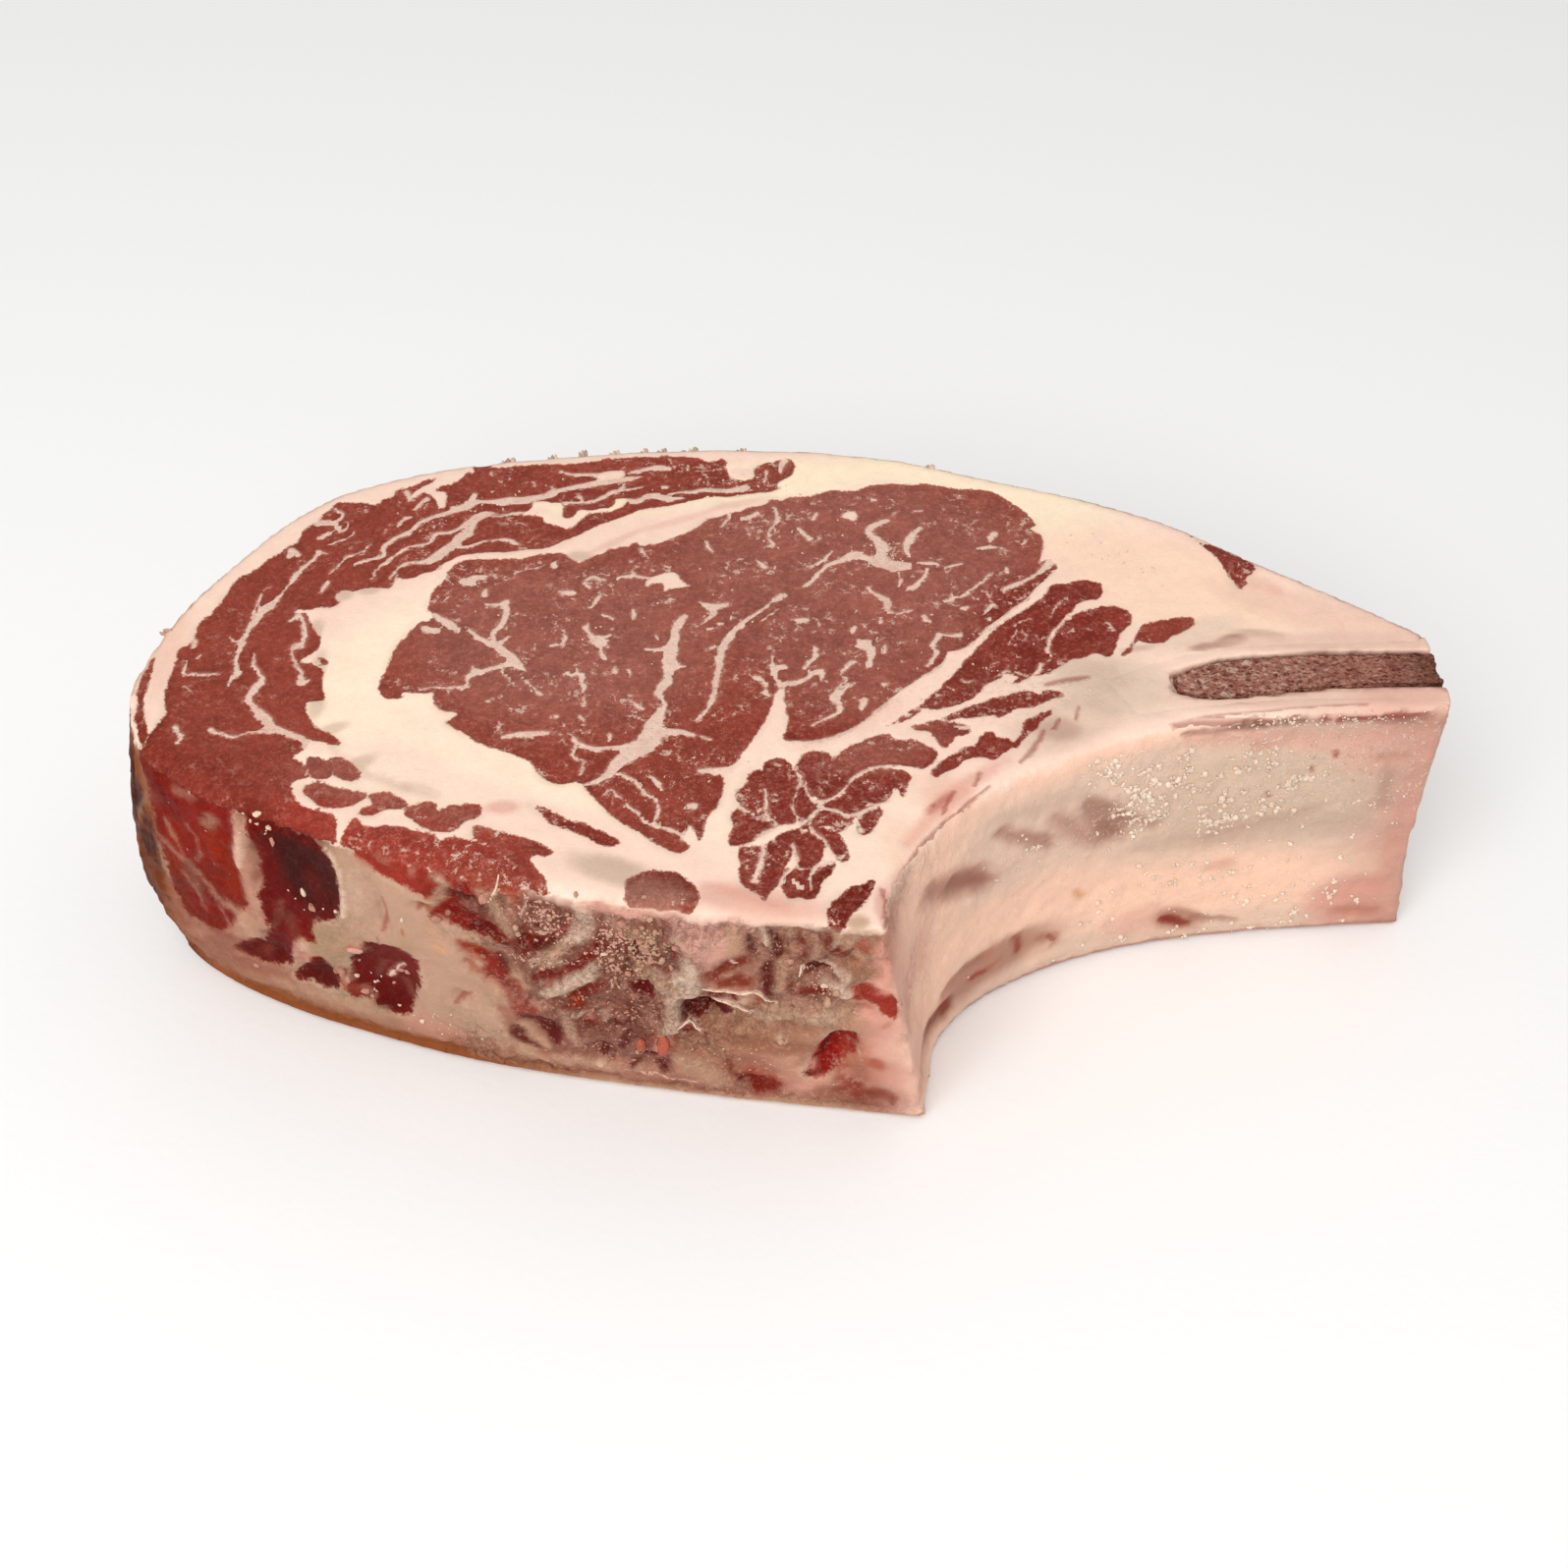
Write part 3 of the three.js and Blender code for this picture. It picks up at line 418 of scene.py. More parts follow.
# Fat seams that run through the lean, one a row; a row that ends in \ goes on in the next
cutSeams = """
-85.9,30.3,.9 -86.1,28,.8 -87.3,26,.9 -88.5,24,1.2 -88.8,22.8,1.3 -90,20,.6 -91,17.5,.7 -91.8,15.5,1.6 \
-92.6,14.3,2.2 -93.6,12.5,1.4
-93.6,12.5,1.4 -94.4,10.5,1.2 -94.9,8,1.1 -95.3,6,1.2 -95.5,4 -95.7,2,.9 -95.6,0,.8 -95.3,-2,.9 \
-94.8,-3.2,1.4 -95.8,-4.5,.8 -96,-6.5,.7
-92.7,20.1,.4 -94.1,19 -94.5,15,.6 -94.9,10,.8
-97.9,6.2,.5 -97,5.2,.8 -95.6,5,.9
-93,2,.4 -92.8,0,.5 -92.6,-1,.7 -91.5,-2.6,.8 -90.6,-3.9,.7 -90.3,-5,1.2 -91.2,-7,1.4 -92,-9.5,1.2 \
-91,-11.5,1.3 -89.5,-13.3,1.8
-89.5,-13.3,1.8 -88,-15,2.2 -87,-16.5,1.6 -85,-17.8,1.5 -83,-18.8,1.4 -81,-20,1.6 -79.8,-21.3,2.2 \
-78,-22,2.5
-97.2,-17,.6 -96.3,-18,.8 -95,-18.3,.9 -94,-18.8,.7 -92,-19,.6 -90.5,-18,.7 -88,-17.7,.9 -86.3,-17.6,1.2
-103.2,-16.5,.7 -102.8,-18 -101.5,-19 -102,-20.4
-104.7,0,.7 -104.3,-1.5 -104.5,-3 -103.8,-3.8 -102.7,-3.4 -101,-3.6 -98.5,-3.4,.6 -98,-3.8,.5
-104.1,5.4,.9 -103.8,3.6
-102.7,.5,.5 -102,1.7
-103.5,-6.5,.4 -102,-8.5
-88,10.5,.6 -86.5,12.3,.7 -85,8.5,.8 -84.8,5,.9 -85.3,4,1.2 -86.6,4,.5 -86,1,.6 -85.2,-1 -84,-3,.8 \
-83.6,-5.8,1.1 -82.5,-4.8,.6
-78.5,26.5,.9 -76.5,27.8 -74.3,28.6,1 -73.6,29.2 -73.9,31.5,.9 -73,33,1 -71,34.5,1.1 -69.3,36.2 -68.2,38.2 \
-66,40,1.2
-66,40,1.2 -62.8,41.7,1.4 -60,43.5,2.2 -58.5,44.6,1.6 -56.5,44.8,1.2 -53,45,2 -52,45.3,2.2 -49,45.3,2.4 \
-46.5,46.2,2 -44.5,46.8,1.8
-44.5,46.8,1.8 -42.5,48.5,1.4 -40,49.3,1.6 -37,50.3,1.8 -34,51.2,2.2 -31,51.8,1.5 -28.5,52.5,.7
-58.6,47.3,.8 -59,45.5,1.6
-44.5,47,.7 -44,49.5
-62.2,43.3,1 -60.8,43
-75.3,21.5,.4 -73.9,26,.6 -72.9,26.9,1.1 -71.5,29.2,.7 -69.6,31,.8 -67.5,31.8 -65.8,32.6,.7 -64.9,34.5,1 \
-64.6,35.4 -62.5,35.6,.9
-62.5,35.6,.9 -60.3,37,1.2 -57.5,39.8,2.2 -56,41.1,2 -53.5,40.9,1.1 -50.5,41.5,1 -48,41.6,1.2 -46,42,2.5
-71.5,22.5,.5 -70.5,25.4,.7 -69,26.8,.8 -66.5,27.1,1 -64.5,27.8,2 -62.8,30,2.4 -61,32.3,2.2 -60,34.3,2.4 \
-58.7,35.3,2.2 -58.8,37,1.6 -58,38.8
-60.8,31.5,1.2 -58.5,31.6,.9 -56,32.9,.8 -53.5,33.5,.7 -51.5,33.8 -50,33,.9 -49,32,.5
-63.5,25,.5 -61,26.5,.6 -59.3,27.7,.8 -57.5,28.4,.9 -54,28.7,1.2 -50,29.2
-41.5,44.6,1.2 -38.5,44.6,.9 -36,45.2,1 -34.5,46.3,1.2 -32.5,47.8,1.4 -31,48.3,.9 -27,49.5,.5
-29.5,45.3,1.4 -27.8,45.2 -26.2,46.4,1.6 -24.4,46.8,1.8 -22.8,46.2,2 -21,45.8,1.4 -19,46,.6
-21.3,47.4,.8 -17.5,48,1 -15,48.6,1.3 -12.5,48.4 -10,48.5,1.5 -8,49,2 -7.2,49.9,1
-42.8,54.3,.8 -40.5,53.3,1 -37.5,53.3,1.2 -35,53.2,1.5
-29,54,.9 -26.5,54.9,1.3 -24.5,55.5,1.5 -22.2,55.3,1.3
-30,51.7,.7 -27.5,52.6
-87,38.5,2 -84.5,38.6,1.6 -83,37.2,1 -82.7,36.6,.8
-85.7,34.2,1.2 -84.6,35.6
-84.3,42.5,.9 -83,41.3 -82.9,40 -83.6,39.5
-81.8,38.8,.5 -81.7,37 -82.4,36
-80,36,.6 -80.5,34.7,.5 -82.5,33.5 -84.5,32,.4
-82.8,23.5,.4 -81.5,26.3,.5 -80.3,28.6,.9 -79.5,28.8,.7 -78.3,29.6,.4
-83.6,18.5,.5 -82.7,21.5,1.1
-90.7,30.5,1.4 -90.8,28.6
-90,30.2,.8 -89.2,28.9
-77.5,29.7,.8 -77.2,31,.6 -76,32.5,.3
-69.3,42.8,1.1 -67.6,45.8
-71.8,38.2,1 -70.8,40 -70,40.2
-71.5,48,1 -70.3,45.3
-78.8,43.5,.4 -78.4,42.2
-85,29.9,.6 -84.1,29.4
-50.3,38.2,.6 -49.5,38.5 -48.5,38
-39,47.3,1.3 -38.3,45.5,.7
-41.5,47,.5 -41.8,46
-30.8,48.5,.8 -30.5,50.3
-47.7,51,.5 -47.4,49.6
-55.9,54,.5 -55.6,52.7
-22.9,49.3,1.2 -22.5,49.3
-22.2,58,.5 -21.6,56.9
-18.8,56,.6 -18.6,54.5
.2,58,1.3 -.5,55.5 -.8,54,1
-3.3,54.5,.8 -3.8,51
-9,53.5,3.6 -7.4,53.5
-62.5,12.3,1.2 -60.8,10.9,1.8 -59.5,9.7,2 -58.2,8.6,1.4 -57.5,8.2,.5
-63.8,8.6,1.8 -61.5,7.8,1.6
-55.8,8.1,1 -54.6,6.7,1.1 -53,5.5,1.3 -51,4.3,1.7 -49.5,2.8 -48,1.2,1.9 -47.4,0,2.3 -46.5,-1,1.6 \
-45.6,-2.2,1.1 -45,-2.8,.6
-50.5,4.4,1 -51.2,6,.9 -51.3,7.8,1 -50.3,9.5,1.2 -49.7,11.5,1.4 -49.7,13.5,1.3 -50.3,15,1.6 -49.6,16.2,.6
-50.2,14.8,1.6 -51.5,15,1 -53,14.7,1.1 -54,15.7,.4
-49.8,5.2,.6 -48.7,6.7
-47,-.8,1.4 -49,-1.2,1.1 -51.5,-2,1.2 -53,-2.8,1.6 -54.2,-2,.8 -54.3,-1.2,.4
-53.5,-3,1.5 -54.7,-3.8,1.1 -55,-5,.7 -54.8,-6.3,.8 -55.5,-7.2,.5
-55,-6.7,.8 -57,-6.6,.6 -58,-7,.7 -60,-6.8,.6 -62,-7.2,.5 -63,-7.5,.4
-57.8,-7.2,.5 -57.8,-8.7
-49.3,-2,.5 -48,-4 -46.8,-5.7,.4 -45.5,-7,.3
-46,-3.5,.6 -44.5,-5.5 -43,-7.3 -41.6,-8.8,.9
-35,10,.5 -35.2,9,.7 -34.5,7.5,.8 -33.5,6,1.2 -32.6,5,2.6 -32.3,4,1.2 -32,2.5,.6 -31.5,1,1.3
-33.2,5.8,1.2 -31.8,6.2,1.4 -30.5,6.8,.5
-35,20,.9 -36,21 -35.8,22,.7 -34.8,22.8,1 -33.5,22.4,.7 -32.2,22,.4
-30.3,22.3,.9 -29.5,22.8 -27.7,23.1,1.1 -26,22.8,.9 -24.5,22.3
-27.6,23.5,.6 -27.6,24.7
-39.8,18.4,1.2 -38.3,18.6
-58.2,21.5,2 -56.8,21.2
-56.3,22.8,1.6 -54.8,22.8
-55.2,25.5,.5 -55.2,24.2
-42,27,.9 -42,26
-49.3,24.3,.9 -49,22.5,.4
-49.2,24.2,.7 -47.5,24.6,.5 -46.8,25.8,.3
-46,25,.5 -43.3,26.3
-54,17.5,.9 -53.8,19
-39,8,.7 -38.8,6.5 -38.9,5
-41.2,4,.7 -40,4.3 -38.7,4
-43.8,4.5,.6 -43.8,2.8
-37.8,-3.3,1.2 -36.5,-4,.6
-36.2,-1.5,.4 -36,-3,.7 -35,-4,1.2 -35,-5.5,.9 -34.6,-7,1 -34.8,-8.3,.9
-34.4,-9,.3 -34.2,-11.5,.6
-29.2,-2.3,.9 -29.3,-3
-27,-2.5,.9 -26.7,-4.3,.6
-26.3,-10.2,.5 -24.3,-12.3,.9
-34.8,-14,.7 -34.2,-15.2
-39.2,-14,.9 -38.8,-14
-50.8,-10.3,.7 -50.5,-10.3
-33.3,17.5,.8 -34.3,15.3,.6 -35,14.5,.5
-32.2,12.5,.7 -30.5,11.3
-26.9,13.5,.9 -27,11.5
-22.8,6.8,.6 -22,5.6
-47.5,-19.2,.9 -45,-18.5,1.2 -42,-18.3,1.6 -39.8,-18,.8
-29.5,-18.5,.7 -29.3,-20
-17.7,12,1 -18.6,10.5,1.6 -19.2,8.5 -19.4,6,1.9 -19.8,3.5,2.4 -20,1,2.6 -19.8,-1,2.7 -20,-3,1.8 -20.3,-5,1.5 \
-21,-6.5,2
-21,-6.5,2 -21.5,-8.5,1.4 -21,-10,.9 -20.6,-11.5 -21.2,-13,1.5 -22,-16,3 -22.3,-18.5,4 -23.5,-21.5 \
-26,-23.5,3 -28,-25.8,2.4
-28,-25.8,2.4 -29,-28,1.8 -31,-29.8,1.2 -33,-30.8,1
-24.2,3.3,.8 -22.5,3.1,1 -21,3.3,1.2
-19,-1,1 -17.4,-1.5,.6
-25,-21.5,2 -28,-21.8,1.2 -31,-22 -33.5,-21.3,1 -35,-20,.9 -36,-18.5,.5
-34.5,-20.5,.8 -35.3,-22.5,.7 -35,-24 -33.5,-25,.5 -33.8,-28,.4
-20.5,-18,1.8 -17.5,-18,1.4 -15,-18.7,.8 -12.5,-19.7,.6
-16,-43,1.2 -17.5,-41.3,.8 -20,-40,.7 -22.5,-39,.9 -24,-37,.7 -25.5,-35.5 -27,-33.5,.6 -28.5,-31.5,.4
-27.3,-28,.9 -25.5,-29.3,1 -24,-30.5,.9 -22.8,-32.5,.7 -21,-34,.8 -20.5,-35.5,.6 -20.9,-38.5,.9
-22,-29,.9 -20.8,-30.5,1.2 -20.3,-31.5,.9
-15.8,-42.5,1 -15.3,-40.5
-15.5,-35.5,1.6 -14.9,-35.5
-9,-27.3,2 -14,-27.4,1.2
-15,15.7,.8 -13,14.8,1.4 -11.5,14.9,1.2 -9.7,15.5,.5
-12.8,14.5,1.8 -12.8,12.5,1.4 -13.6,11,.7 -14.5,9.8,.4
-11.7,9.8,1.1 -11.3,9.8
-13.2,8.5,1 -12.8,8.5
-9.5,11.7,.9 -9.5,11.3
-13.3,3,.9 -12,3.7
0,18,.6 -1,17,1.6 -2.2,15.8,.7 -3.6,14 -5.5,12.2 -7.2,10.3,1.1 -8.8,8,1.4 -10,5.5,1.7 -10.8,3,1.6 -11.3,.5
-11.3,.5,1.6 -11.4,-2,1.4 -11.7,-5,1.3 -12.1,-8,1 -12.2,-10,1.2 -13,-12,.9 -14.5,-14.5 -15.5,-15,.7
-1.2,14,.4 -3,12 -4.5,10.5
3.6,20.2,.6 4.5,21,1.1 6,23.5,.9 7.5,25.5,1 9,26.8,1.2 10.5,27.6 12,28.6,2 13.2,29.2,2.2 15,28.3,1.8 \
17,27.5,2.4
17,27.5,2.4 18.8,26.5,3 20.2,26,3.2 22,26,2.2 23,26.3,1.2
4.8,25.6,1 7,27.5,.9 7.8,28.7,.7 8.8,30.3
19.3,39.3,1.2 18,38.5,1.5 16.5,37.5,1.8 15.8,36,1.4 16,34.8,1.5 17,33.7,1.8 17.7,32.5,2.2 18.2,31.3 18,30 \
17.8,28.8,2.4
25.4,37,1 24.3,35.5,1.4 23.3,33.5,1.6 22.6,31.8,1.5 22.8,30,1 23,28.5,.7
24.5,26.8,.6 26,26.8,1 27.5,26.7 28.3,26,.5
29.5,25.5,1 31,26,.9 32.5,26.8,.5
21,23.5,.6 21.2,22,.7 21,20.6,.8
26.2,25.5,.8 25.8,23.5,.9 24.8,21.7,1 23.3,20,1.4 22.3,19.3,.8
5.6,40,1 6,41.3
2.7,37,.9 3.8,35.5,.8 5,33.8,1.2
38.1,32.8,.8 38.4,34.2,1.3 39,35.4,1.4
35.5,31,.7 37.5,31.5,1 40,31.2,.7
44,32.5,.7 44.6,33.5
40.6,25.3,.8 40.6,24.2
24.2,42,.5 25.8,42.2
16.9,45.8,.7 17.2,45.8
-7.8,39.8,1.1 -6.5,40.2,1.3 -5,41.5,1
-6.5,40,.8 -6.3,38.5
-10.3,41,.7 -10.5,39 -11.5,37.5
-2,43,.8 -1.3,41 -1,39.5 -2,37.5 -2.8,36 -2.5,33.5 -2,32 -3.5,31.2,.6
-14.5,33,.7 -13.8,31 -13.2,30,.5
-5.2,27.5,.6 -4.2,26.3,1 -3.4,25.6
-26.5,31,.7 -25.8,29.5
2.4,10.7,1.4 4,10.9
2.3,9,.4 1.9,7.5
15.3,19.8,.9 15.8,18.8,.7 17,17.8,.9 18.2,16.5,1.5 18.5,15 18.5,13.5,.9 19.5,12.7,.6 21,12.9 22.8,13.7
29,16.2,.8 30.5,17,1 30.3,18.3,.5
32.3,14.3,1.2 32.7,14.3
38,24,.4 36,21.5,.7 34.5,19.8,.6 32.8,18.2,.9 31.9,17.3,.5
37.3,15,1 36.3,13.6,.8 35.3,12,.5
36.4,11.3,1 36.7,11.3
17.3,11.5,1 17,9.8,.7
12.5,9,.9 12,7.5
25,12,1 25.5,10.5
15,5.2,1 14,4.5,2.4 15.3,3,2 15.2,1,1.4 14.6,-1.5,1
12.5,0,.6 11,-1.5,.8 10.2,-3.3,.7 10.8,-5,.6 9.7,-6.5 9,-7.7
27.3,7,1.4 26.7,5.5,1.1 26.2,3.8 26.8,2,.9 26,.3 25,-1.2,1
27.3,7,1 29,6.8,.7 31,6.8,1.2
17.8,4,.8 17.6,2
17.3,-6,.9 17.6,-6
13.7,-10,1.3 13.3,-12,.9
9.5,-8,1.6 8.5,-9.5,1.4 9.5,-11,1.2 9.2,-13,1 7,-15,.8 5,-16.5,.7
9.5,-8,.7 11,-6.5 12,-5.8
-.3,-6.5,1.3 .3,-5.7,1.2 2,-5.5 4,-4.6,1 5,-3.2,1.4 6.5,-2.6,1.6
6.5,-3,.6 6.3,-4.7
-.8,-6.5,1 -1.4,-4.5 -1.8,-2.5,1.6 -2,-.5,.9 -2,1.5,.4
-.7,-1.5,1.3 -.2,-1.5
4,-2,.9 4.5,-.3,1 5.3,1,1.1 5.5,2.5,1.2 5.3,4,.4
-4.9,-4.5,1.4 -4.5,-4.5
-3.5,-5.3,.9 -3,-6.8
-3.4,-8,.8 -2.4,-8.5
10,-3,.5 10.8,-1 12,.2
48.8,27,1.8 47.6,25.3,1.5 46.3,24,.9 44.5,22.2 42.5,20.9,1.2 40.5,19.8,1 39.8,18.8,.6
49.5,24.5,1.2 48,22 46.5,19.8,1.6 45.3,18 43.8,16.2,.9 42,14.5,1.1 40.3,12.6,1.2 38.3,10.5,1.4 36.3,8.5,1.1
36.3,8.5,1.1 34.8,6.3,1.2 33.3,4,1.5 31.3,1.8,2.4 29.5,0,3 28.8,-1.5,3.2 26,-4.5,3.6 23,-7.5,4 \
20.5,-10.5,4.4
20.5,-10.5,4.4 17.5,-13.5,4.2 14,-17,3.2 10.5,-19.3,2.6 6,-21,2.4 1.5,-21.5,3
51,12.3,1.2 50,11,.8 49,9.3,.7 48.3,8.3,.6 47.3,6.8 46.7,5 46.3,3,.7 46.8,1,.6
45,-.8,1.1 44,-2.8,.6 42.8,-4.2,.5 41.5,-5.5,1.2
57.2,10,.8 58,9.5 58.2,8
49.8,16,.4 48.5,14 47.8,11.5
44,11.2,.5 42,10.3 40.8,9
41.5,9,.3 39.5,4
38.3,2.5,.6 38.7,2.5
38,-3,.7 39,-2.5 39.7,-4
30.5,-4.5,.4 31.3,-5.3 32.8,-5
1.5,-52,1 3,-53.8
-3.2,-31.8,.5 -2.8,-34.6,.6 -3,-37 -2.2,-38.7,.7
3.3,-31.1,.6 4.3,-33.5,.8 5.6,-34.6,1 7.8,-33.9,.8 10,-31.8,.7 11.5,-29.1,.8 13.4,-27.6,.7 16.1,-26.4,.8 \
19.3,-26.7,.7 22.1,-28,1
-4.3,-43.1,1.2 -3,-41.4,1 -.5,-40.4 1.7,-40,1.1 3.3,-39.1,.9 4.5,-37.8,.8 5.6,-36.1 5.6,-34.6
-2.5,-41.2,.8 -3.4,-43.8 -3.4,-46.9,.7 -4.3,-49.8,.8 -4.7,-52.2,.9
1.3,-44.4,.7 2,-46.5,.8 1.6,-49.1 .4,-50.6,.7 -.7,-54
4.2,-40,.7 5.2,-41.9 6.7,-43.3,.6 7.2,-46,.8 7.4,-48.1,.9 5.3,-49.1 4.1,-51.2,.7 4.2,-53.7,.6
7.2,-46,.5 8.8,-47.1,.7 10,-46,.6
2.1,-27.3,.5 2.9,-29.8,.6 2.2,-32,.5 1.6,-34.6,.4 1.8,-37.4,.5 3.3,-39.1,.6
5.6,-36.1,.7 8.5,-36.5,.9 10.8,-37.8,1 12.5,-37,.9 14.7,-35.7 16.9,-34.6,1 18.4,-32.6
-7.5,-35.7,.6 -5.5,-37,.7 -3.8,-38.5 -2.2,-38.7,.6 -.5,-40.4
12.5,-37,.8 11.9,-39.1 12.4,-41.2
29,-16.8,.7 31.3,-16.8
20,-13.5,.8 21.3,-13.7
"""

# Soft strokes of colour in the fat of the cut: "colour strength softness x,y,width ..."
cutStrokes = """
salmon .6 1.2 20,-44,2 24,-38.5,3 27,-34 32,-29,2.5 37,-25,1.6
brick .6 .7 23.8,-37,.8 25.4,-35.2,1.6 27.5,-33,.9
salmon .55 1 -12,-53,1.6 -6,-55.4,2.4 0,-58,2
pink .6 1.4 19,-50,2 17,-55,2.5 16,-60,2
grey .5 1 -76,-22,1 -71,-27,1.6 -62,-32
"""
# Fine red lines and streaks in the fat, and the crease where the upper face meets the rib wall
cutStreaks = """
34,-31,.5 31,-34,.7 28,-37.5,.8 26,-39.5,.9 24,-42 22,-45,1 20.5,-48 19,-51,.9 17.7,-54 17,-57,.8 16.2,-60 \
15.5,-64,.6
45.5,-6.3,1.1 49,-5.2,1.3 52.8,-4.5,.9
44,-18,.9 42.5,-21,1 41,-23.5 39.5,-25.5,.7
46.8,-15,.8 45.5,-17.5
50.5,-12,.6 49.5,-15
32.5,-28,.8 31.5,-31
28,-32.5,.8 26.5,-35.5 26,-37.5
24.1,-35.8,.5 24.8,-35.5,.6
-23.3,44,.5 -19.7,45,.7 -17.5,46,.9 -13.7,46.9,1 -10,47.2 -7.5,47.5,.9 -3.4,48.1,.7 -1,49,.5
-54.8,40.8,.5 -53,41.4,1 -52,41.9 -50,42.9 -48.7,43.4,.9 -47.6,43.2,.4
-46,45.3,.5 -43,45.7,.9 -41.5,46.6,1.6 -39,47.6,1.8 -36,47.6 -34.4,47.6,.7
-30,40.7,.4 -28.4,42.6,1 -26.6,43.8,1.2 -24.8,44.9,1 -23.3,45.3,.5
68,-15.5,.3 72,-14.3,.4 77,-13.6,.5 82,-13 87,-12.3,.4 92,-11.8 96,-11.4,.3 100,-11.2
66,-16.3,.8 70,-15.9,1.5 74,-15.8,2.1 78,-15.5,2.2 82,-14.9,2 88,-14.4,1.2
90,-14.7,1.2 95.5,-14.7,1.5 98,-14.6,.9
99.5,-14.7,1.2 104.5,-14.7,1.4
112.3,-12.5,1.6 112.7,-12.5
15.5,-54,.7 16,-57 15.6,-60,.6
"""

# The front walls, seen flat: x along the steak, z up from the lower face
wallFace = {
    "leans": """
leftMuscle -109.5,62 -109,50 -108.8,42 -108.3,36 -108,30 -107.5,24 -106,20.5 -103,20 -100,20.5 -98,22 \
-96.3,24 -95.3,26.5 -94,29 -92,31.5 -91.3,34 -91.8,38 -92.5,42 -91.8,46 -91.3,50 -91.5,54 -91.5,62
darkMuscle -98,16 -96,19 -94,21 -92,22.5 -90,24 -89,27 -89.5,31 -89.3,36 -88.3,40 -88.7,46 -89.7,53 -90.5,62 \
-84,62 -81.5,56 -80,54.3 -78,54.6 -76.5,53.5 -75,51.5 -74,49 -73.8,46 -74,42 -74.5,38 -75.5,35 -78,34.7 \
-80,33 -81,30 -80.5,27.5 -82.3,27.5 -84,26 -85.5,22.5 -86.5,19 -87.5,16.5 -91,14.5 -94,14.3 -97,15
lowStrip -84,19 -82,22.3 -80.5,23.2 -79.5,22 -78.5,19 -78,16 -79,13.5 -81,13.3 -84,13.3 -87,13 -86.5,15 \
-85.2,17
lowPocket -72,30.5 -69.5,32 -67.5,32.5 -65,32.5 -63,31.5 -62,29 -62,26 -62.3,23 -64,20 -64.5,17 -65.3,14 \
-66,11 -68,10.5 -70,11.5 -72,12 -73,14 -75.5,13.5 -77,15 -76.5,18 -75.5,21 -75.3,23.5 -74,26 -72.5,28
topBulge -70,62 -69.5,54.5 -67.5,52.5 -65.5,51 -62.5,50 -60,48.5 -57.5,46.8 -58,43.5 -55,43 -52,41.5 -49,40 \
-46,39.2 -43,39.3 -40,40 -37,41 -36,43 -34.5,45.5 -36,44.9 -38,46 -40,44.5 -43,43 -45.5,41.5 -47.3,42.5 \
-48,46 -48.3,50 -48.5,53 -46,54.2 -43,54.5 -41,55.8 -38,57.3 -38,62
midSpot -25.8,35 -24,35.8 -22,34.7 -20.8,33 -21.5,30.8 -23.2,30.8 -25,32
cave -17,31.2 -14.5,30.4 -12,31 -9.5,30.2 -8.5,29 -10,27 -12,26 -14,24.3 -16,24.3 -18,24.5 -17.5,27
cave2 -12.7,33.8 -8,33.6 -7.5,32 -9.5,31.7 -12.5,32
cave3 -17.3,23 -16,23.3 -14.6,22.2 -15.5,21.2 -17,21.8
redCorner 11.5,39.5 13,40.7 15,40 17,38.5 18.5,37 19.2,34 18.3,31 16.5,31.6 15,34 13,35.3 11.2,35.8
clot 10.7,26 11.8,23.6 11.8,19.6 10.6,16.3 9,14 7.1,11.8 5.3,11 3.6,12 4.4,14.8 5,17.7 6,21 7.2,24.2 \
8.8,25.8
heelRed 6.5,59 8,54 9.5,51 11,49.5 11.5,46.5 9,48 7,50.5 5.5,54 4.5,59
""",
    "fats": "",
    "islands": "",
}
wallSeams = """
-99.6,54.2,.5 -98.4,54.8
-64.8,27.8,.5 -66.2,25.5 -67.7,22.8,.6 -68.8,20,.8
-45.4,56,.4 -45.8,54.3,.5 -46.9,52.6,.6
-41.2,54.3,.4 -41.7,51.5,.5 -42.8,48,.4
-13.4,34.5,.6 -10.5,34.9,.5 -7.4,34.4 -4.8,35.2,.7 -3,34.2,.5 -1.4,33.7,.4
-13,30.9,.4 -10.6,31.1,.6 -8.6,30.9,.7 -7.2,29.4,.9 -5.6,28.7,.8
-17.9,22.8,.4 -16,24.1 -14.9,23.2,.5 -13.8,22.4,.6
-28.5,6.1,.3 -24,5.6,.4 -20,4.9,.3 -15.6,5.2,.4
-8.9,43.4,.4 -8.2,41,.5
2.8,43.4,.6 2.7,42,.5 2.4,40.9,.3
"""
wallStreaks = """
-66,46,.4 -66.3,41,.6 -66.8,38.5,.9 -67.3,36.5,.5
-68.3,34.7,.4 -68.4,33
-63.5,38.5,.5 -63.5,37
-60,45,1 -59.3,46.3
-56.3,20,.9 -55,21.6,1.2 -53.5,23.4,.7
70,6.7,1.4 72,6.5,2.2 73.8,5.2,1.8 75.3,4.8,.9
29.3,9,1.4 29.3,6.5,1.6
34.5,8.8,1.3 36.5,8.3,1.2
42.7,12.5,.8 42.6,9.8,1.3
48.5,10.2,1 49.2,9.2
95.8,47.2,1 96,46.4,.9
92.2,43.5,.7 92.4,42.8
85,38.2,.9 85.6,37
73,56.6,.5 78,56,1.2 84,55.8 88,56,.6
92,55,.9 98,54.6,1.2 104,54.8,1.1 110,55.2,.8
-35,48.5,.8 -36.5,46.2,1 -38.5,46,.8
-20,39.2,1 -18.8,37,1.1
-17.6,47,.8 -17.8,42.5,.9
-26.4,50,.7 -25.8,46,.8 -26.3,42.5,.6
-22.3,46.5,.7 -22,43.5
"""

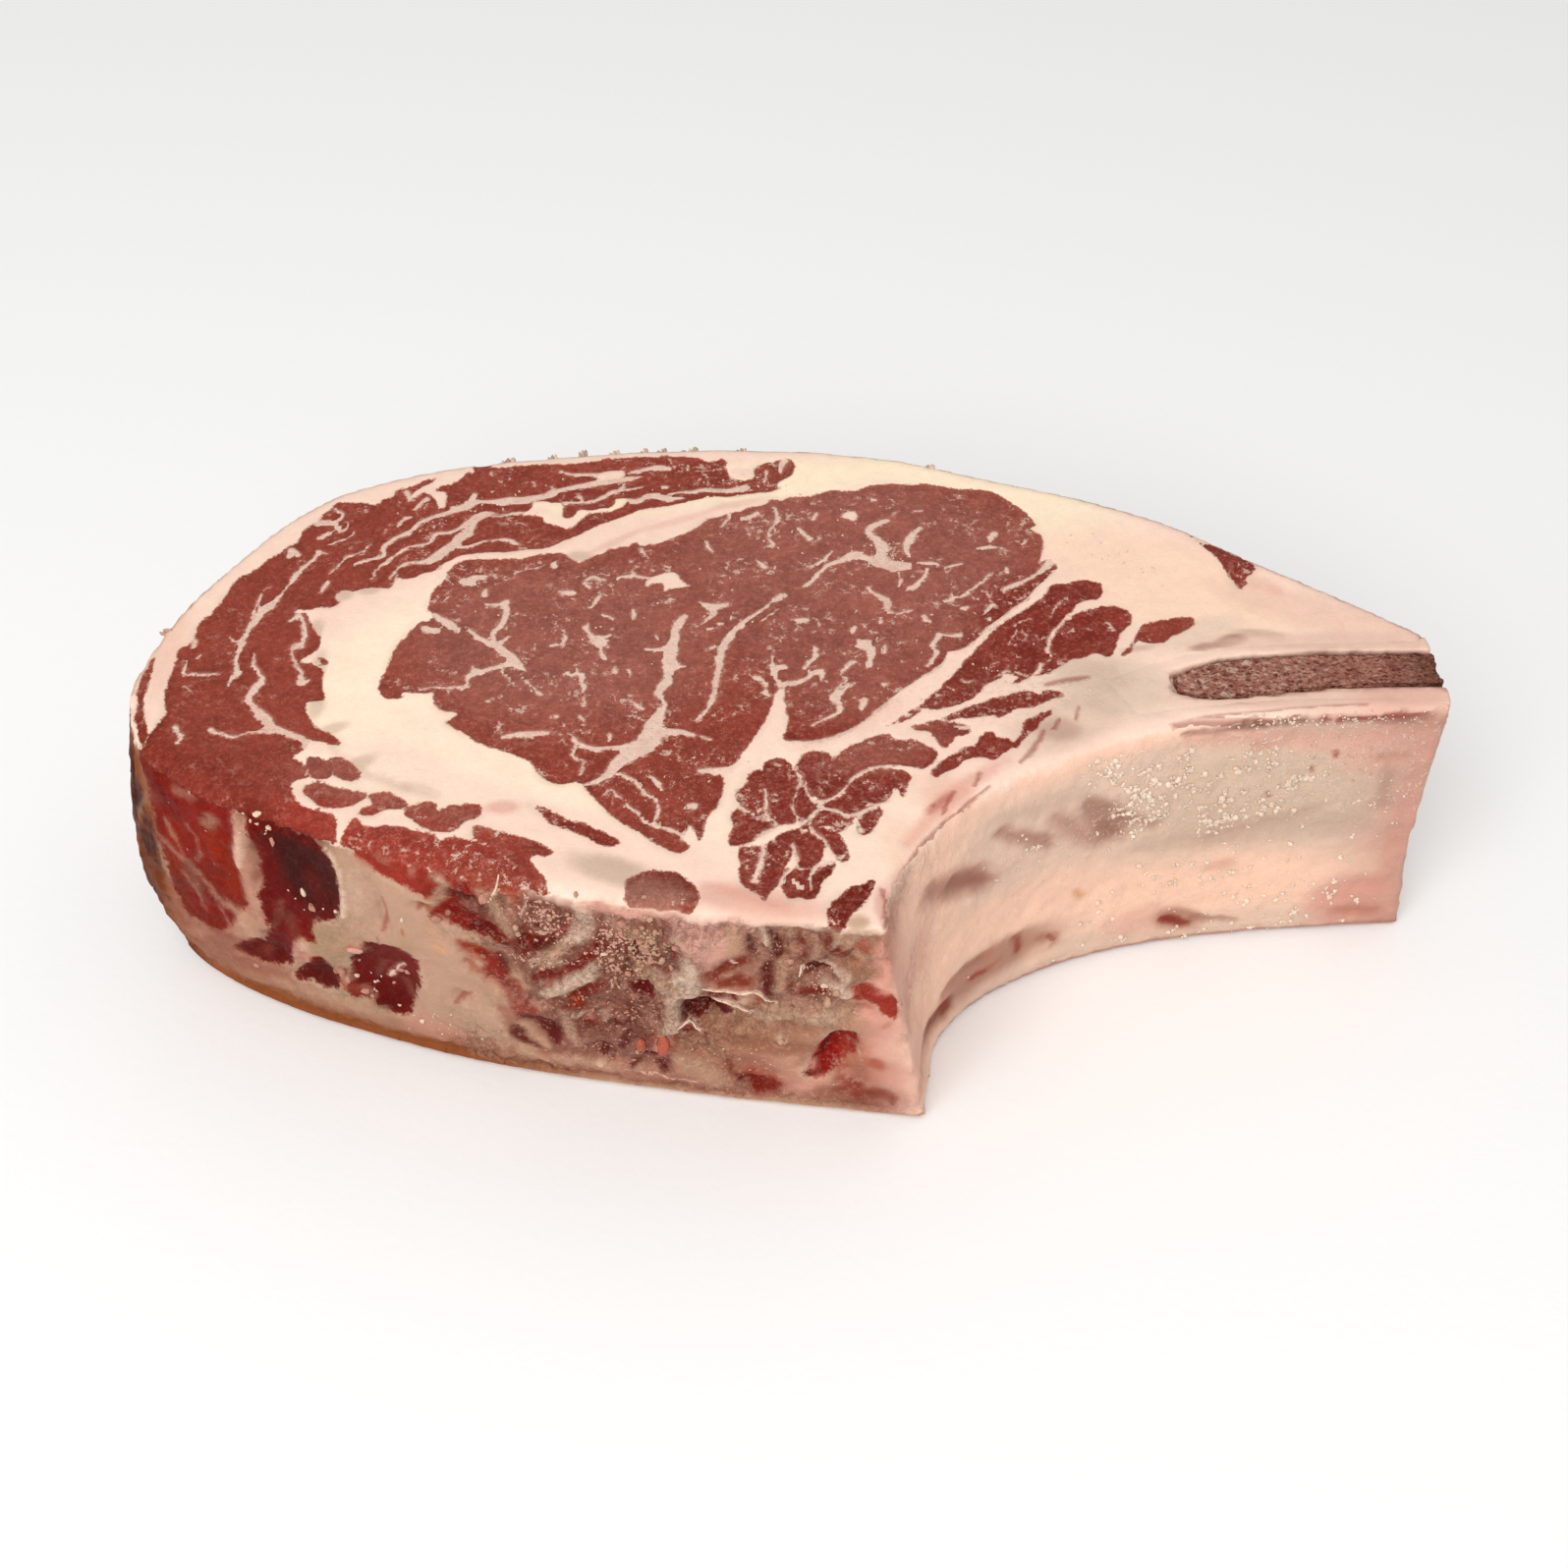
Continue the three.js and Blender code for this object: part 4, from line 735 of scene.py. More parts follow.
# Soft ovals of colour in the fat and the lean of the cut: "x y radiusX radiusY turn colour strength"
cutFatTints = """
-66 0 14 30 -40 kernel 1
-40 -28 34 6 -25 kernel .8
-10 50 40 6 12 capFat 1
40 48 26 12 -28 warmFat .9
5 51 14 4 10 warmFat .9
70 20 26 13 -30 fat 1
96 12 22 5 -25 rimFat .8
-92 44 20 4 42 rimFat .9
-109 4 4 14 0 rimFat .9
-60 59 30 2.2 8 grey .6
-14 62.5 40 1.6 0 tan .8
30 57 20 1.6 -18 tan .7
60 45.5 22 1.6 -27 tan .6
56 -6 12 8 -18 gristle .95
54 -4 6 4 -18 grey .5
48 -16 12 6 30 grey .45
46.5 -17.5 4 3 0 purple .4
72 7 10 3.4 20 gristle .6
79 5.3 3 1.6 20 marrowDark .85
75 3.9 4 1 12 purple .8
84.5 7 5 1.2 -8 grey .8
70 8 4 .8 35 grey .8
62 3 3 .8 10 grey .7
95 4.8 22 2.6 1 bone .75
92 -9.6 26 3 1 bone .85
107 -9 9 5 0 pink .5
104 -14.5 16 2.6 0 pink .6
28 -36 9 5 -55 salmon .45
20 -46 9 4 -70 salmon .4
-4 -57 12 4 -12 pink .7
-27 -50 8 3 -20 grey .8
-14 -49 7 4 10 seam .8
6 -38 20 18 -20 kernel .5
-64 -31 18 7 -15 kernel .4
-47 -38 5 3 0 seam .8
-46 -36 3 1.6 0 pink .7
-60 -32 4 1.6 -20 grey .4
-79.5 17.5 2 1.6 0 grey .7
-75 18.8 2 1.2 0 grey .6
-83 8 1.4 3 0 grey .7
-81 -2 1.4 5 0 grey .6
-80 -12 1.6 3 0 grey .6
-76.5 -17.5 3 1.4 30 grey .6
-71 -26 4 1.6 40 grey .6
-37.5 28.5 2.6 1.6 0 grey .7
-31 33 6 1 38 pink .45
-20 39 8 1 25 pink .4
-9 44 6 1 20 pink .4
11.5 -61 2 1.4 0 greenTan .8
15.5 -57 1.4 4 0 pink .7
21.3 -13.7 1.6 .7 30 warmFat .6
87 20.3 4 2 -40 pink .35
58 34 3 1 50 seam .6
"""
cutLeanTints = """
-38 6 30 24 0 eye 1
12 30 38 26 0 eye 1
15 5 22 22 0 eye .8
-95 -12 15 22 0 cap 1
-70 45 40 18 30 cap 1
-30 50 34 10 10 cap 1
-98 -30 13 7 -30 group .7
-87 -38 8 4 -10 deep .7
-106 -22 4 8 20 group .6
-101 -33 7 3.5 -40 wallRed .75
-88 -40 11 3 -8 wallRed .6
-74 -41 6 2.5 -5 deep .6
-72 -29 10 6 -20 eye .65
-58 -38 12 3.4 -10 eye .45
-108 -14 3 10 0 wallBrown .8
48 12 14 12 0 group 1
36 -4 16 10 40 group .8
5 -38 18 22 0 group .9
10 -56 8 8 0 deep .9
36 -18 16 7 30 group .75
-76 -38 9 4 -20 bright .6
-62 -42 22 5 -18 bright .75
-34 -42 14 5 -35 group .8
-19 -53 8 5 0 veil .9
80 28 7 9 -50 group .8
17 -22 12 5 20 eye .6
-19 -51.6 9 2.6 5 deep .75
-13 -53.6 3 4 30 group .6
-22 -55.5 6 4 0 plum .55
"""

# The same on the walls, in x and z, and then the strokes that are laid over them in order
# On the rib's wall (x over 26), in the tints and strokes below, the peach along the top and low down is
# partly painted light, and the grey and film in the middle partly painted shade of its shallow hollow; the
# rest is the membrane's own colour
wallFatTints = """
-84 22 2 6 20 pink .9
-98 12 12 6 0 veil .9
-104 12 6 8 0 veil .8
-80 6 26 4 0 sawn .7
-68 42 8 14 5 column .95
-60 30 10 14 5 column .95
-56 16 9 10 0 column .9
-77 28 3 8 20 greenTan .7
-57.3 35.5 1.4 1.2 0 orange .5
-62 8 6 6 0 rose .6
-50 5 14 4 0 veil .5
-40 46 8 10 20 mauve .8
-46 46 5 8 20 mauve .6
-26 40 12 20 0 mauve .8
-28 20 12 14 0 mauve .9
-13 49 5.5 8 0 pink .85
-19 35 4 3 -40 pale .8
-30 5 16 4 0 rose .6
-4 26 12 6 5 sawn .95
-3 20 10 3 0 sawnDark .8
-13 15 7 8 0 sawn .8
2 42 10 16 0 mauve .8
4 31 8 4 0 tan .8
14 47 4 9 0 sawn .5
16 46 2 8 0 salmon .6
14 16 6 9 0 brick .5
-5 12 6 5 0 veil .9
2 6 6 5 0 rose .8
13 6 9 5 0 wallBrown .6
20 24 6 22 0 pink .6
22 48 3 12 0 peach .7
50 46 18 5 0 membrane .8
84 38 24 13 0 film .75
86 28 24 4 0 grey .5
60 55 26 2.6 0 peach .9
40 22 22 7 0 peach .85
78 15 34 8 0 peach .95
37 10 13 5 8 veil .7
47 6 3 3 0 peach .4
66 8 8 4 0 pink .5
73 6.5 5 3 -20 veil .7
106 8 10 7 0 pink .9
103 46 8 5 0 pink .5
112 30 3 28 0 pink .7
95 53 22 3 0 plum .35
"""
wallLeanTints = """
-100 44 9 16 0 wallRed 1
-104 28 6 9 0 wallBrown .8
-101 25 5 5 0 wallRed .7
-96 40 5 10 0 ember .2
-81 45 9 11 0 night .85
-87 38 4 14 0 pocket .9
-90 19 9 5 20 pocket 1
-82 16 5 5 0 darkRed .9
-69 21 9 13 0 pocket 1
-60 54 14 5 0 bright .8
-50 46 12 7 0 wallRed .9
-23 33 4 4 0 pocket .9
-14 27 6 5 0 darkRed 1
-10 33 4 2 0 pocket .8
15 36 6 7 0 bright .8
9 20 5 9 0 clot 1
9 53 5 8 0 wallBrown .9
"""
# the first strokes lay olive, rust and brown on the left end: partly its own streaks, partly painted shade
# and a painted dark reflection
wallStrokes = """
olive .95 1.6 -115.5,54,5 -113.5,46,6 -112.5,36,7 -113,28,5
rust .9 1.2 -113.5,29,6 -112.5,22
rust .6 .5 -115,31,.7 -112,37 -109,43
brown .7 .5 -114.5,34,.5 -111.5,41,.6 -108.8,46,.5
tan .4 .5 -113.6,38,.4 -110,46,.5
brown .45 1.5 -103,7,3 -94,4,4 -80,3 -62,2.5,3
wallBrown .5 2 -103,20,3 -99,20,4 -95,21,2
brown .7 1.5 -110,18,4 -107,12,5
clotDark .85 .5 68,54.7,.8 72,54.4,1.8 78,54.5,2.4 84,54.8,1.8 91,55.1,.8
group .6 .6 92,54.6,.9 100,54.6,1.5 108,54.8,1
rose .6 1 -102.6,53,1.5 -100.6,53.8,2.4 -98.8,54.4,1.2
tan .5 1 -97.2,48.5,2 -96,50.5,2.6
group .6 3 -109,56,4 -95,56 -90,55
deep .75 2.5 -89,56,4 -82,55 -76,54,2
mauve .5 1 -108.3,47.8,1.8 -107,48.3,1.2
ember .3 2.5 -97,46,4 -95,38,6 -96,32,4
ember .35 2 -104,44,4 -106,34
darkRed .4 2 -107,52,4 -104,48,3
rose .65 .6 -107.8,39.4,.8 -104,36.4,1.2 -100.8,34,1.1 -98.3,29.6,1.3 -96.2,28.4,1.6
mauve .65 .9 -103.2,35,2.4 -102.4,31,2 -102,27.5,1
rose .5 .5 -100,40,.5 -101.5,37.5,.7
rose .5 .4 -99,30,.5 -97.6,24,.7 -98.5,20.5,.6
rose .55 .4 -106.5,44,.4 -104.6,40.5,.7 -103.8,38,.5
rose .5 .4 -104.5,33,.5 -102.8,29,.9 -101.6,25,.7
rose .45 .4 -101.6,46,.4 -100.4,43,.6 -100,40.5,.4
rose .5 .5 -96.6,31,.8 -95,27.6,1.2 -93.6,24.6,.9
tan .6 1.4 -96,29,2 -93.5,26,4 -95.5,21.5,3
pink .8 .7 -91,50,1 -91.6,45,2 -92.6,41.5,1.2
rose .85 .9 -91,44,2.6 -91.4,38 -91.4,33,2
pale .6 .5 -90.4,48.6,.8 -90.9,45,1.2 -92.2,42,.8
mauve .6 .8 -89.4,49,1.6 -88.9,45,2 -89.5,40,1.4
rose .5 .8 -90.8,55,1.2 -91.6,52,1
pocket .9 1.2 -87.8,53,2 -87.2,44,3 -86.8,36 -87.5,30,2.5
night .8 1.8 -83.5,49,4 -82.5,44,5 -83.2,38,3
night .7 1.8 -78.5,48,5 -77,44,4 -76,41,2.5
darkRed .8 1.2 -79.5,43,4 -78,39.5,3.5
mauve .5 .6 -86.3,34.5,1 -87,31,1.2 -88,28,1
mauve .35 .8 -85.5,31,2 -84,28,1.6
rose .9 .5 -82.8,26.4,2.4 -83.8,23.5,3.4 -84.8,20.5,2.2 -85.8,17.5,.9
pale .5 .5 -82.3,26.3,1 -83,24.5,1.4
darkRed .8 1 -89,25,3 -90,20,5 -93,17,4 -96,16,2.5
brick .3 1.2 -92,17.5,2 -91.5,18.5
darkRed .9 .8 -80,21,2.6 -81.5,17,4 -83,15,3
pale .85 .35 -74.9,53.2,.7 -73.4,51,.9 -72.8,46,.8 -73.2,41,1 -74,37.5,.8
pale .25 1.5 -70.5,50,2 -70.8,40
greenTan .6 1.2 -63,37,3 -63.5,33
greenTan .6 1 -78.5,29,3 -78.2,23,2.6
rose .8 .6 -74.5,28.6,1.6 -72.8,29,2.2 -71.4,29.4,1.2
brick .5 .4 -74.8,27.6,.6 -72.5,27.6,.8
darkRed .8 .5 -70.8,30.6,.8 -71.4,28.8,.9
rose .4 .7 -64.8,27.8,.8 -67.7,22.8,.9 -68.8,20,1.1
mauve .5 .8 -66.5,20,1.2 -65.5,16,1.4
mauve .4 .8 -69.5,25,1.5 -71,20
night .7 .6 -74.8,24,1 -73.8,26.5 -71.5,28,.9
darkRed .7 1 -68,14,4 -70.5,12.5,3
rose .6 .6 -76.6,21,2 -76.2,18,1.6
brick .6 1 -75.2,15.5,2.4 -78,16.5,1.4
rose .6 .5 -73.6,15.8,1.6 -72.2,14.2,1.2
veil .8 1.8 -106,19,3 -101,15,5 -97,11,4
rose .5 1.2 -107,14,3 -103,18,2
tan .6 1.5 -90,9,4 -80,9.5 -72,8,3
sawn .7 1.5 -96,7,4 -84,6.5 -70,6
brown .85 1.2 -100,3.5,4 -85,3,4.5 -70,2.8 -58,2.5,4
rose .5 1 -63.5,10,2.5 -61,7,3 -56,9
brick .4 .8 -61,8.5,1 -57,7,1.2 -54,8.5,1
rose .4 .6 -59,6,1 -53,12
bright .6 1 -68,54,3 -64,52.6 -60,50
rose .6 .6 -67,55.5,1.5 -64.5,54.6,1.4
rose .5 .5 -61,52,1 -59.5,55
tan .8 .6 -56,53.8,2 -55.2,52 -56.6,48.5,2.2 -58.2,45.6,2
pale .5 .4 -55.2,54,1.2 -54.4,53.3,.8
darkRed .8 .8 -53.8,51,2.4 -51,50,3 -48.8,48,1.6
mauve .8 1 -51.5,48.5,2.5 -49.5,46.5,4 -49,44.5,2.5
rose .35 .4 -52,49,.4 -51.3,45,.5
rose .35 .4 -50.2,49.5,.4 -49.8,46,.5
wallRed .9 .7 -57.5,44.8,1.8 -54.5,44,2.5 -51.5,44,3.5 -49,42.5,3 -46,40.5,2.4
darkRed .7 .6 -50,43,2 -47.5,40.5 -44,39
rose .7 .5 -57,43.3,1.8 -55.8,42.9,1
orange .2 1.2 -58.5,41,3 -57.5,36
brown .9 .35 -59.6,46.1,.9 -58.9,45.6,1
tan .9 .6 -48.6,53,2.6 -47.9,51.3,3 -46.8,48,1.6
tan .75 .6 -46.8,50,2.4 -46,46,2.6 -45.3,42.5,2 -45.2,41,1
rose .7 .5 -44,52,1.2 -44.2,48,1.6 -43.8,45,1.2
mauve .6 .5 -47.6,47,.7 -46.8,43
brick .8 .7 -46,54.5,2.5 -43.5,54 -42.8,51,1.2
bright .9 .8 -52,56,3 -46,56.6,2 -42,55.8,2.4
rose .7 .5 -41.2,54.3,.6 -41.7,51.5,.8 -42.8,48,.6
darkRed .7 .35 -40.6,53.6,.5 -41.2,50.8,.6
mauve .7 1 -38,52,5 -37,47.5 -34.5,49.5,3
darkRed .8 .5 -40.8,47,1.2 -39.4,46.6,.8
darkRed .6 .5 -36.3,49.4,1 -35.4,48.2,.8
wallBrown .9 .8 -42,44,3 -40.3,42.5,3.4 -38.3,43.2,3 -36.6,45.4,2 -35.3,47.5,1
darkRed .8 .7 -40.5,41,2.2 -38.2,42.5,2 -36.8,44.6,1.2
darkRed .7 .8 -44,41,2 -42.5,39.5,2.4
pale .8 .9 -32.3,54.5,3 -32,50.5 -33,46.5 -34.8,43.8
tan .85 .8 -35,43.6,2.4 -37.5,41.2 -39.8,38.8,2
pale .55 .35 -32.2,47,1.2 -33.5,44.5,.9
pale .4 .35 -34.2,47.5,.6 -36.5,43,.7
sawnDark .6 .5 -30.2,51.5,1 -30.1,46,1.2
tan .9 .6 -41.3,37,3 -39.3,36.2,3.6 -37.6,38.4,2.6
pale .6 .4 -41.4,37.6,1 -40,38.6,.8 -37.2,37.2,1
tan .8 .5 -40.2,34.8,1.8 -39.6,33.8,1.4
mauve .8 .8 -49,38.8,1.6 -46.6,37.6,2.6 -44.4,35.8,3.4 -43.3,33.5,2.6
rose .5 .4 -49,38.2,.8 -46.4,37.8,1 -45,36.4,.8
wallBrown .8 .7 -46.6,39.6,2 -43.2,38.6,2.6 -40.8,39.6,1.4
ember .95 .7 -53.6,38.6,1.6 -52.4,37.3,3.2 -51,36.2,3
wallRed .95 .7 -50,35.4,3 -48.6,34,3.6 -48.6,31,4 -49.5,28.6,2.6
darkRed .8 .6 -47.4,35.4,1.8 -46.6,33.4,2 -46.9,31.2,1.8
brick .6 .5 -52.3,34.4,1.2 -50.4,33.4
ember .6 .7 -53,33,1.6 -51,30.5,2
tan .7 .7 -44.6,32.4,2.4 -44.9,30.4,2 -43.8,28.6,1.8
wallRed .9 .6 -30,44.4,1.8 -33.6,38.3,2.4 -35.4,36,2.2 -37.3,33.6,1.8 -40,32.3,1.6 -42,31.6,1
darkRed .6 .5 -34.3,38.2,1.2 -36,35.7,1
pale .85 .6 -30.9,38.5,1.8 -32,36.2,2.4 -34,34,2.8 -36,31.6,3 -38,29.4,2.6 -40.4,27.4,2
frost .5 .35 -32.5,36.5,.6 -34.5,33.5,.9 -37.2,30.6,.8
sawnDark .45 .3 -33,35.5,.5 -35,31.8
wallRed .85 .6 -30,34,1.6 -32,31.8,2.4 -33.6,29.4 -35.2,27,2.6 -36.4,25.4,1.4
wallRed .8 .9 -46.5,28,4 -45,24.5 -44.5,21.5,5
darkRed .6 .6 -47.2,28.5,1.2 -45.6,24.6,1.4
darkRed .5 .5 -42.7,28,1.2 -43.8,23.5
rose .5 .4 -46.8,26.5,.6 -45.2,22.8
rose .5 .4 -44.2,27,.5 -44.8,23.5
rose .8 .5 -42.6,24.4,1.6 -41.4,23.6,2.2 -40.4,24.6,1.6
tan .7 .6 -49.6,27.6,1.8 -49.4,25.2,1.4
greenTan .7 .8 -51.2,24,2.2 -50,21.6
veil .8 .8 -48.4,21,2.4 -46.8,17.8,3.2 -47.4,15.6,1.6
darkRed .95 .6 -44.4,18.6,3 -41.8,17.4,4 -40.4,14.5,3.6 -39.4,12.6,2
darkRed .9 .5 -39.4,19.4,1.4 -38.7,15.5,1.2
tan .8 .5 -45.4,16.2,1 -44.3,13.6,1.8 -42.9,11.9,2.2 -41,11,1.2
darkRed .95 .6 -46.7,14.2,2.4 -45.7,12.2,3 -43,10.6,1.6
tan .85 .6 -37.3,23.5,2 -36.9,19.8,2.2 -36.5,16,2 -35.6,12.5,1.2
rose .6 .5 -38.6,12.5,1 -37.6,9,1.4
darkRed .6 .5 -38.9,12.8,.9 -38.2,10.8
wallBrown .8 .7 -34.6,22,2.2 -32.3,21,2.8
pale .75 .4 -35.8,23.8,.9 -35.2,22.6,1 -34.4,23.6,.7
rose .7 .4 -33.6,24.6,1 -32.6,22.6,1.2
pale .7 .4 -30.8,24.8,.9 -30,22.8,1
ember .8 .6 -35.6,28,2 -34.4,26,2.4
mauve .8 1 -33.4,17,4 -32.6,13.5
rose .4 .4 -33.8,18,.5 -34.2,14,.6
rose .4 .4 -31.6,18,.5 -31.8,14.5,.6
darkRed .9 .6 -31.3,12,2.2 -30.9,9.6,3.2
tan .75 .8 -35.4,7.4,3 -32.5,6,3.4 -28,5.6,2
pale .6 .5 -31.9,7.4,1.4 -32,6.6,1.2
tan .8 .9 -45,8,4 -42,5.5 -38.5,7
veil .6 .8 -43,9,1.4 -40.7,6
veil .5 .8 -51.8,8,2 -50.5,4.5
salmon .9 .5 -30.6,56.3,1.6 -28,56.2,1.8
darkRed .8 .35 -30.9,54.6,.6 -29.4,53.9,.9 -28,54.4,.6
salmon .9 .7 -26.5,54.8,2.6 -24.4,54.2,3 -23.4,56,1.6
bright .9 .6 -23.6,57,1.4 -22.3,55.4,1.8 -19.8,56.6 -18.3,55.4,1.4
brick .8 .5 -18.5,54.4,1.2 -18.6,51.4
tan .7 1.2 -27,51,3.5 -25,49,4 -22.5,48
darkRed .7 .6 -29,48.8,1.6 -28.8,45.8,1.2
darkRed .7 .7 -29.6,44.4,1.8 -27,44.6,1.4 -26,42.6,1
darkRed .8 .6 -24.6,45,1.2 -24.2,42.8,2 -22.8,41.8,1.4
darkRed .7 .5 -25.8,40.6,1 -25.4,38.6,1.2
darkRed .85 .5 -18.1,46.6,1 -18.3,44 -18,41.6
mauve .7 1 -29.5,37,3 -27,36 -28.5,33
pale .6 .7 -17,49,1 -17.2,46.5,1.4
pale .85 .7 -15.6,42,2.4 -15.4,39,2.6 -16,36.5,4 -17.5,34.5 -16,32.8,3
tan .85 .8 -23.4,38.8,2.4 -22,37 -20.2,35.4,2.8 -18,33.6,2.4
frost .6 .5 -17.5,36.5,2 -15.4,36,1.6 -14.3,33.6,1.4
pocket .95 .4 -19.9,38.9,.9 -19.2,37.4,1 -18.3,37.1,.7
mauve .7 .7 -27.5,34,1.6 -27,30.5
pink .8 1 -16,55.5,3 -11,55,4 -8,53.5,2
rose .6 .6 -9.6,53,1.4 -9.4,51,1
tan .8 .8 -8.4,51,2.6 -7.6,48.4,3 -8.8,46,2.2
wallBrown .9 .7 -12,38.6,2.6 -9,40.5,3 -6.8,42.6,2.6
wallBrown .9 .7 -10.5,36.6,2.4 -7,36.8,3
mauve .5 .5 -11.4,41.4,.8 -12.8,38
mauve .6 .5 -9.8,38.2,.8 -7,38.6,.9 -5.4,39.6,.8
darkRed .6 .5 -9.4,42,1.2 -10.4,40,1
darkRed .85 .5 -5.9,51.6,.9 -5.3,48,1.6 -5.4,44.6,1.4
rose .85 .45 -4.7,49,.8 -3.6,46,1.1 -3.9,42.4,1 -4.9,39.6,.9
pale .85 .45 -3.6,53.6,1.6 -3,50.6 -2.6,48.8,1
pale .7 .4 -6,54.6,1.4 -5,52.6,1
pocket .6 .4 -4.8,54,.6 -4.3,52.8,.5
darkRed .9 .5 -3.4,56.4,1.4 -2.2,53.6,1.6 -1.6,50.6,1.4 -1.6,46,2
darkRed .9 .6 -3,41.4,2 -2.9,38,2.6 -3,35.4,1.6
mauve .4 .4 -2.4,45,.5 -2.2,39,.6
rose .8 .5 -1.2,54.6,.9 -.8,51.6,1
darkRed .7 .5 -.8,49.6,.8 -.6,46.4,1
tan .8 .7 -.6,44,2.2 -.7,40,2 -.8,36.6,1.6
pocket 1 .4 -12.2,33,1.6 -9.8,32.7,2.4 -7.9,32.9,2
tan .9 .4 -6.3,33.4,1.4 -6.6,31.6
brick .8 .5 -4.8,32.8,1.4 -4,31.2,1
tan .7 .9 -3,31.5,2.4 -1,31,2.6 -3.5,28,3
pocket .6 .8 -26.5,28,2 -25.6,25.5,2.2
darkRed .8 .5 -29.2,22,1.4 -27.2,21.8,1.6 -26,23.6,1.2
rose .6 .5 -30.2,27.5,1 -29.6,24,1.2
rose .6 .5 -23.2,28.4,1 -22.6,24.6,1.4 -21.8,21.6,1.2
pocket .5 .5 -20.8,26.6,1.4 -20.5,24.4,1
pale .75 .6 -18.2,30,2.4 -18.6,26.6 -19.2,22.6,2.6 -20.3,20.6,1.4
wallRed .9 .5 -16.2,22.6,1 -15.2,22.2,1.4
salmon .9 .6 -20.4,19.5,2 -20.6,16.5,3 -21.4,13.8,2
brick .6 .6 -18.9,18.5,1.2 -19.2,15,1.4
brick .6 .5 -22.6,19.2,.9 -22.4,16.5,.8
darkRed .9 .6 -26.4,19.5,1.6 -27.4,16,1.8 -28.6,13.5,1.6
darkRed .95 .5 -23.6,12.2,2.2 -21.8,11,2.4 -20.2,12.4,1.2
darkRed .9 .5 -25.5,9.5,1.8 -26.6,7.6,1.4
darkRed .95 .5 -21.6,8.4,2 -21.2,6.4,2.2
rose .7 .4 -29.2,9.4,.9 -29,7,1
rose .7 .4 -27.2,10,.7 -26.8,8.8,.8
tan .6 .6 -25.4,6.8,1.4 -24.2,7.4,1.2
rose .7 .45 -28.5,6.1,.8 -24,5.6,1 -20,4.9,.9 -15.6,5.2
sawnDark .5 .6 -22.5,3.6,1.4 -18,3.4,1.6
tan .8 1.2 -18,11.5,4 -14.5,9,5 -12,5.5,4
rose .5 .8 -18.8,8.6,2 -18.2,8.4
brick .35 .6 -14.9,14.4,1.6 -14.2,14.2
pale .3 1.5 -5,28.5,2 1,29,2.4 7,31.5,3
pale .7 .5 -.8,23.4,.9 -.4,22,1.2
wallBrown .8 .5 -9.8,13,.9 -9,9.4,1.4 -7.9,5.8,1.8
brick .8 .8 -6,10.6,3 -3,9.6 -1,8.6,2
wallRed .95 .9 -6.4,6.2,3.4 -4,4.6,5 -1.8,6.2,3.4
ember .6 .6 -5.4,11.6,1.2 -7,8.2,1.6
rose .8 1.2 -1,14.6,3 .8,11 1.5,7
tan .8 .5 .4,55.4,1.4 .9,52.6 1.2,49.6,1.2 .6,47.6
rose .7 .5 2,55.6,1 2.6,53
wallBrown .8 .5 1.8,52,1 2.6,49,1.6 3,46.6,1.4
rose .7 .5 1.2,47.4,1.2 2.6,47.8
tan .8 .45 4.6,52,1 5.2,49.6,1.4 4.4,46.4,1 3.4,44.6,.8
wallBrown .9 .6 3.2,56,1.2 5.6,52.4,1.4 7.4,49.8,1.8 9.4,47.6,1.4 11.6,46.2,.9
darkRed .7 .5 6.2,52,.7 7.8,49.4,1.2
pocket .9 .5 7,57.4,1.2 9.4,57,1.4
tan .8 .6 8,53.6,1.6 9.4,52,2.2 9.8,50,1.4
frost .5 .4 8.2,52,.9 7.6,50.8,.6
brick .8 .6 12.2,51,2 12.8,49.4,1.8
sawn .8 .8 13.6,55.5,2.6 14.4,53,2
tan .7 .5 10.2,49.4,.8 11.8,47.8,.9 13.4,47.4,.8
sawn .8 .7 9.8,46.4,1.8 12.4,44.8,2.6 14.6,42.6,2
darkRed .95 .5 3.9,42.4,1.6 5.4,43.2,2.6 6.8,42.4,1.4
darkRed .6 .5 6.4,46.8,1 3.2,45,.8
pale .8 .5 5.6,45.8,1.4 7.4,45,1.6
pale .7 .6 8.6,43.4,2 10,42.6,1.6
pale .8 .6 6.4,40,1.6 8.2,39.2,2.2 9.8,37.6,2.6
frost .6 .4 9.8,42.8,1 8.8,38.4,1.2 7.2,39.8,.9
wallBrown .95 .6 1,38.6,1.8 3,37.4,2 5.4,37.6,1.8 6.6,37.8,1
rose .8 .4 2.2,38.8,.8 2.1,38
rose .7 .8 2.4,35,2 4.6,33.4,2.4 3.4,31.2,2
darkRed .6 .4 3.6,36.2,.8 5.6,34.2,.7
bright 1 .7 12.6,38.6,2.4 14.4,37.4,3 16.6,35.4,3.4 17.9,32.6,2.2
clot .5 .8 13,37.6,1.6 16.6,35,1.8
salmon .8 .8 14.6,41,1.8 16.8,38.8,2
brick .6 1 11.6,35.4,1.6 13.4,33.6,2.6
salmon .8 1 13.6,31.6,2.6 15.6,30,2
brick .5 .6 18,31,1 17,28.6,1.2
salmon .7 .9 16,51,1.8 16.6,46,2 16.2,42
veil .7 .8 5.4,22.5,1.2 4.2,18.6,1.4 2.6,15,1.6
clotDark .9 .35 10.4,25.6,.8 8.8,23.6,.9 7.4,20,.8 6.4,16.4
brick .5 .6 10.4,20,1.2 10.2,16,1.4
salmon .8 .5 5,15.6,.8 4.9,13.6,1.2
wallRed .7 .6 5.2,13.2,1 8.2,13.4,1.4 10.6,14.6
pale .5 .4 12,21,.6 11.9,18.4
brick .8 1 15.2,17.2,3 16,15.8,2.4
veil .7 1 12.6,15.5,2.4 13,12,3
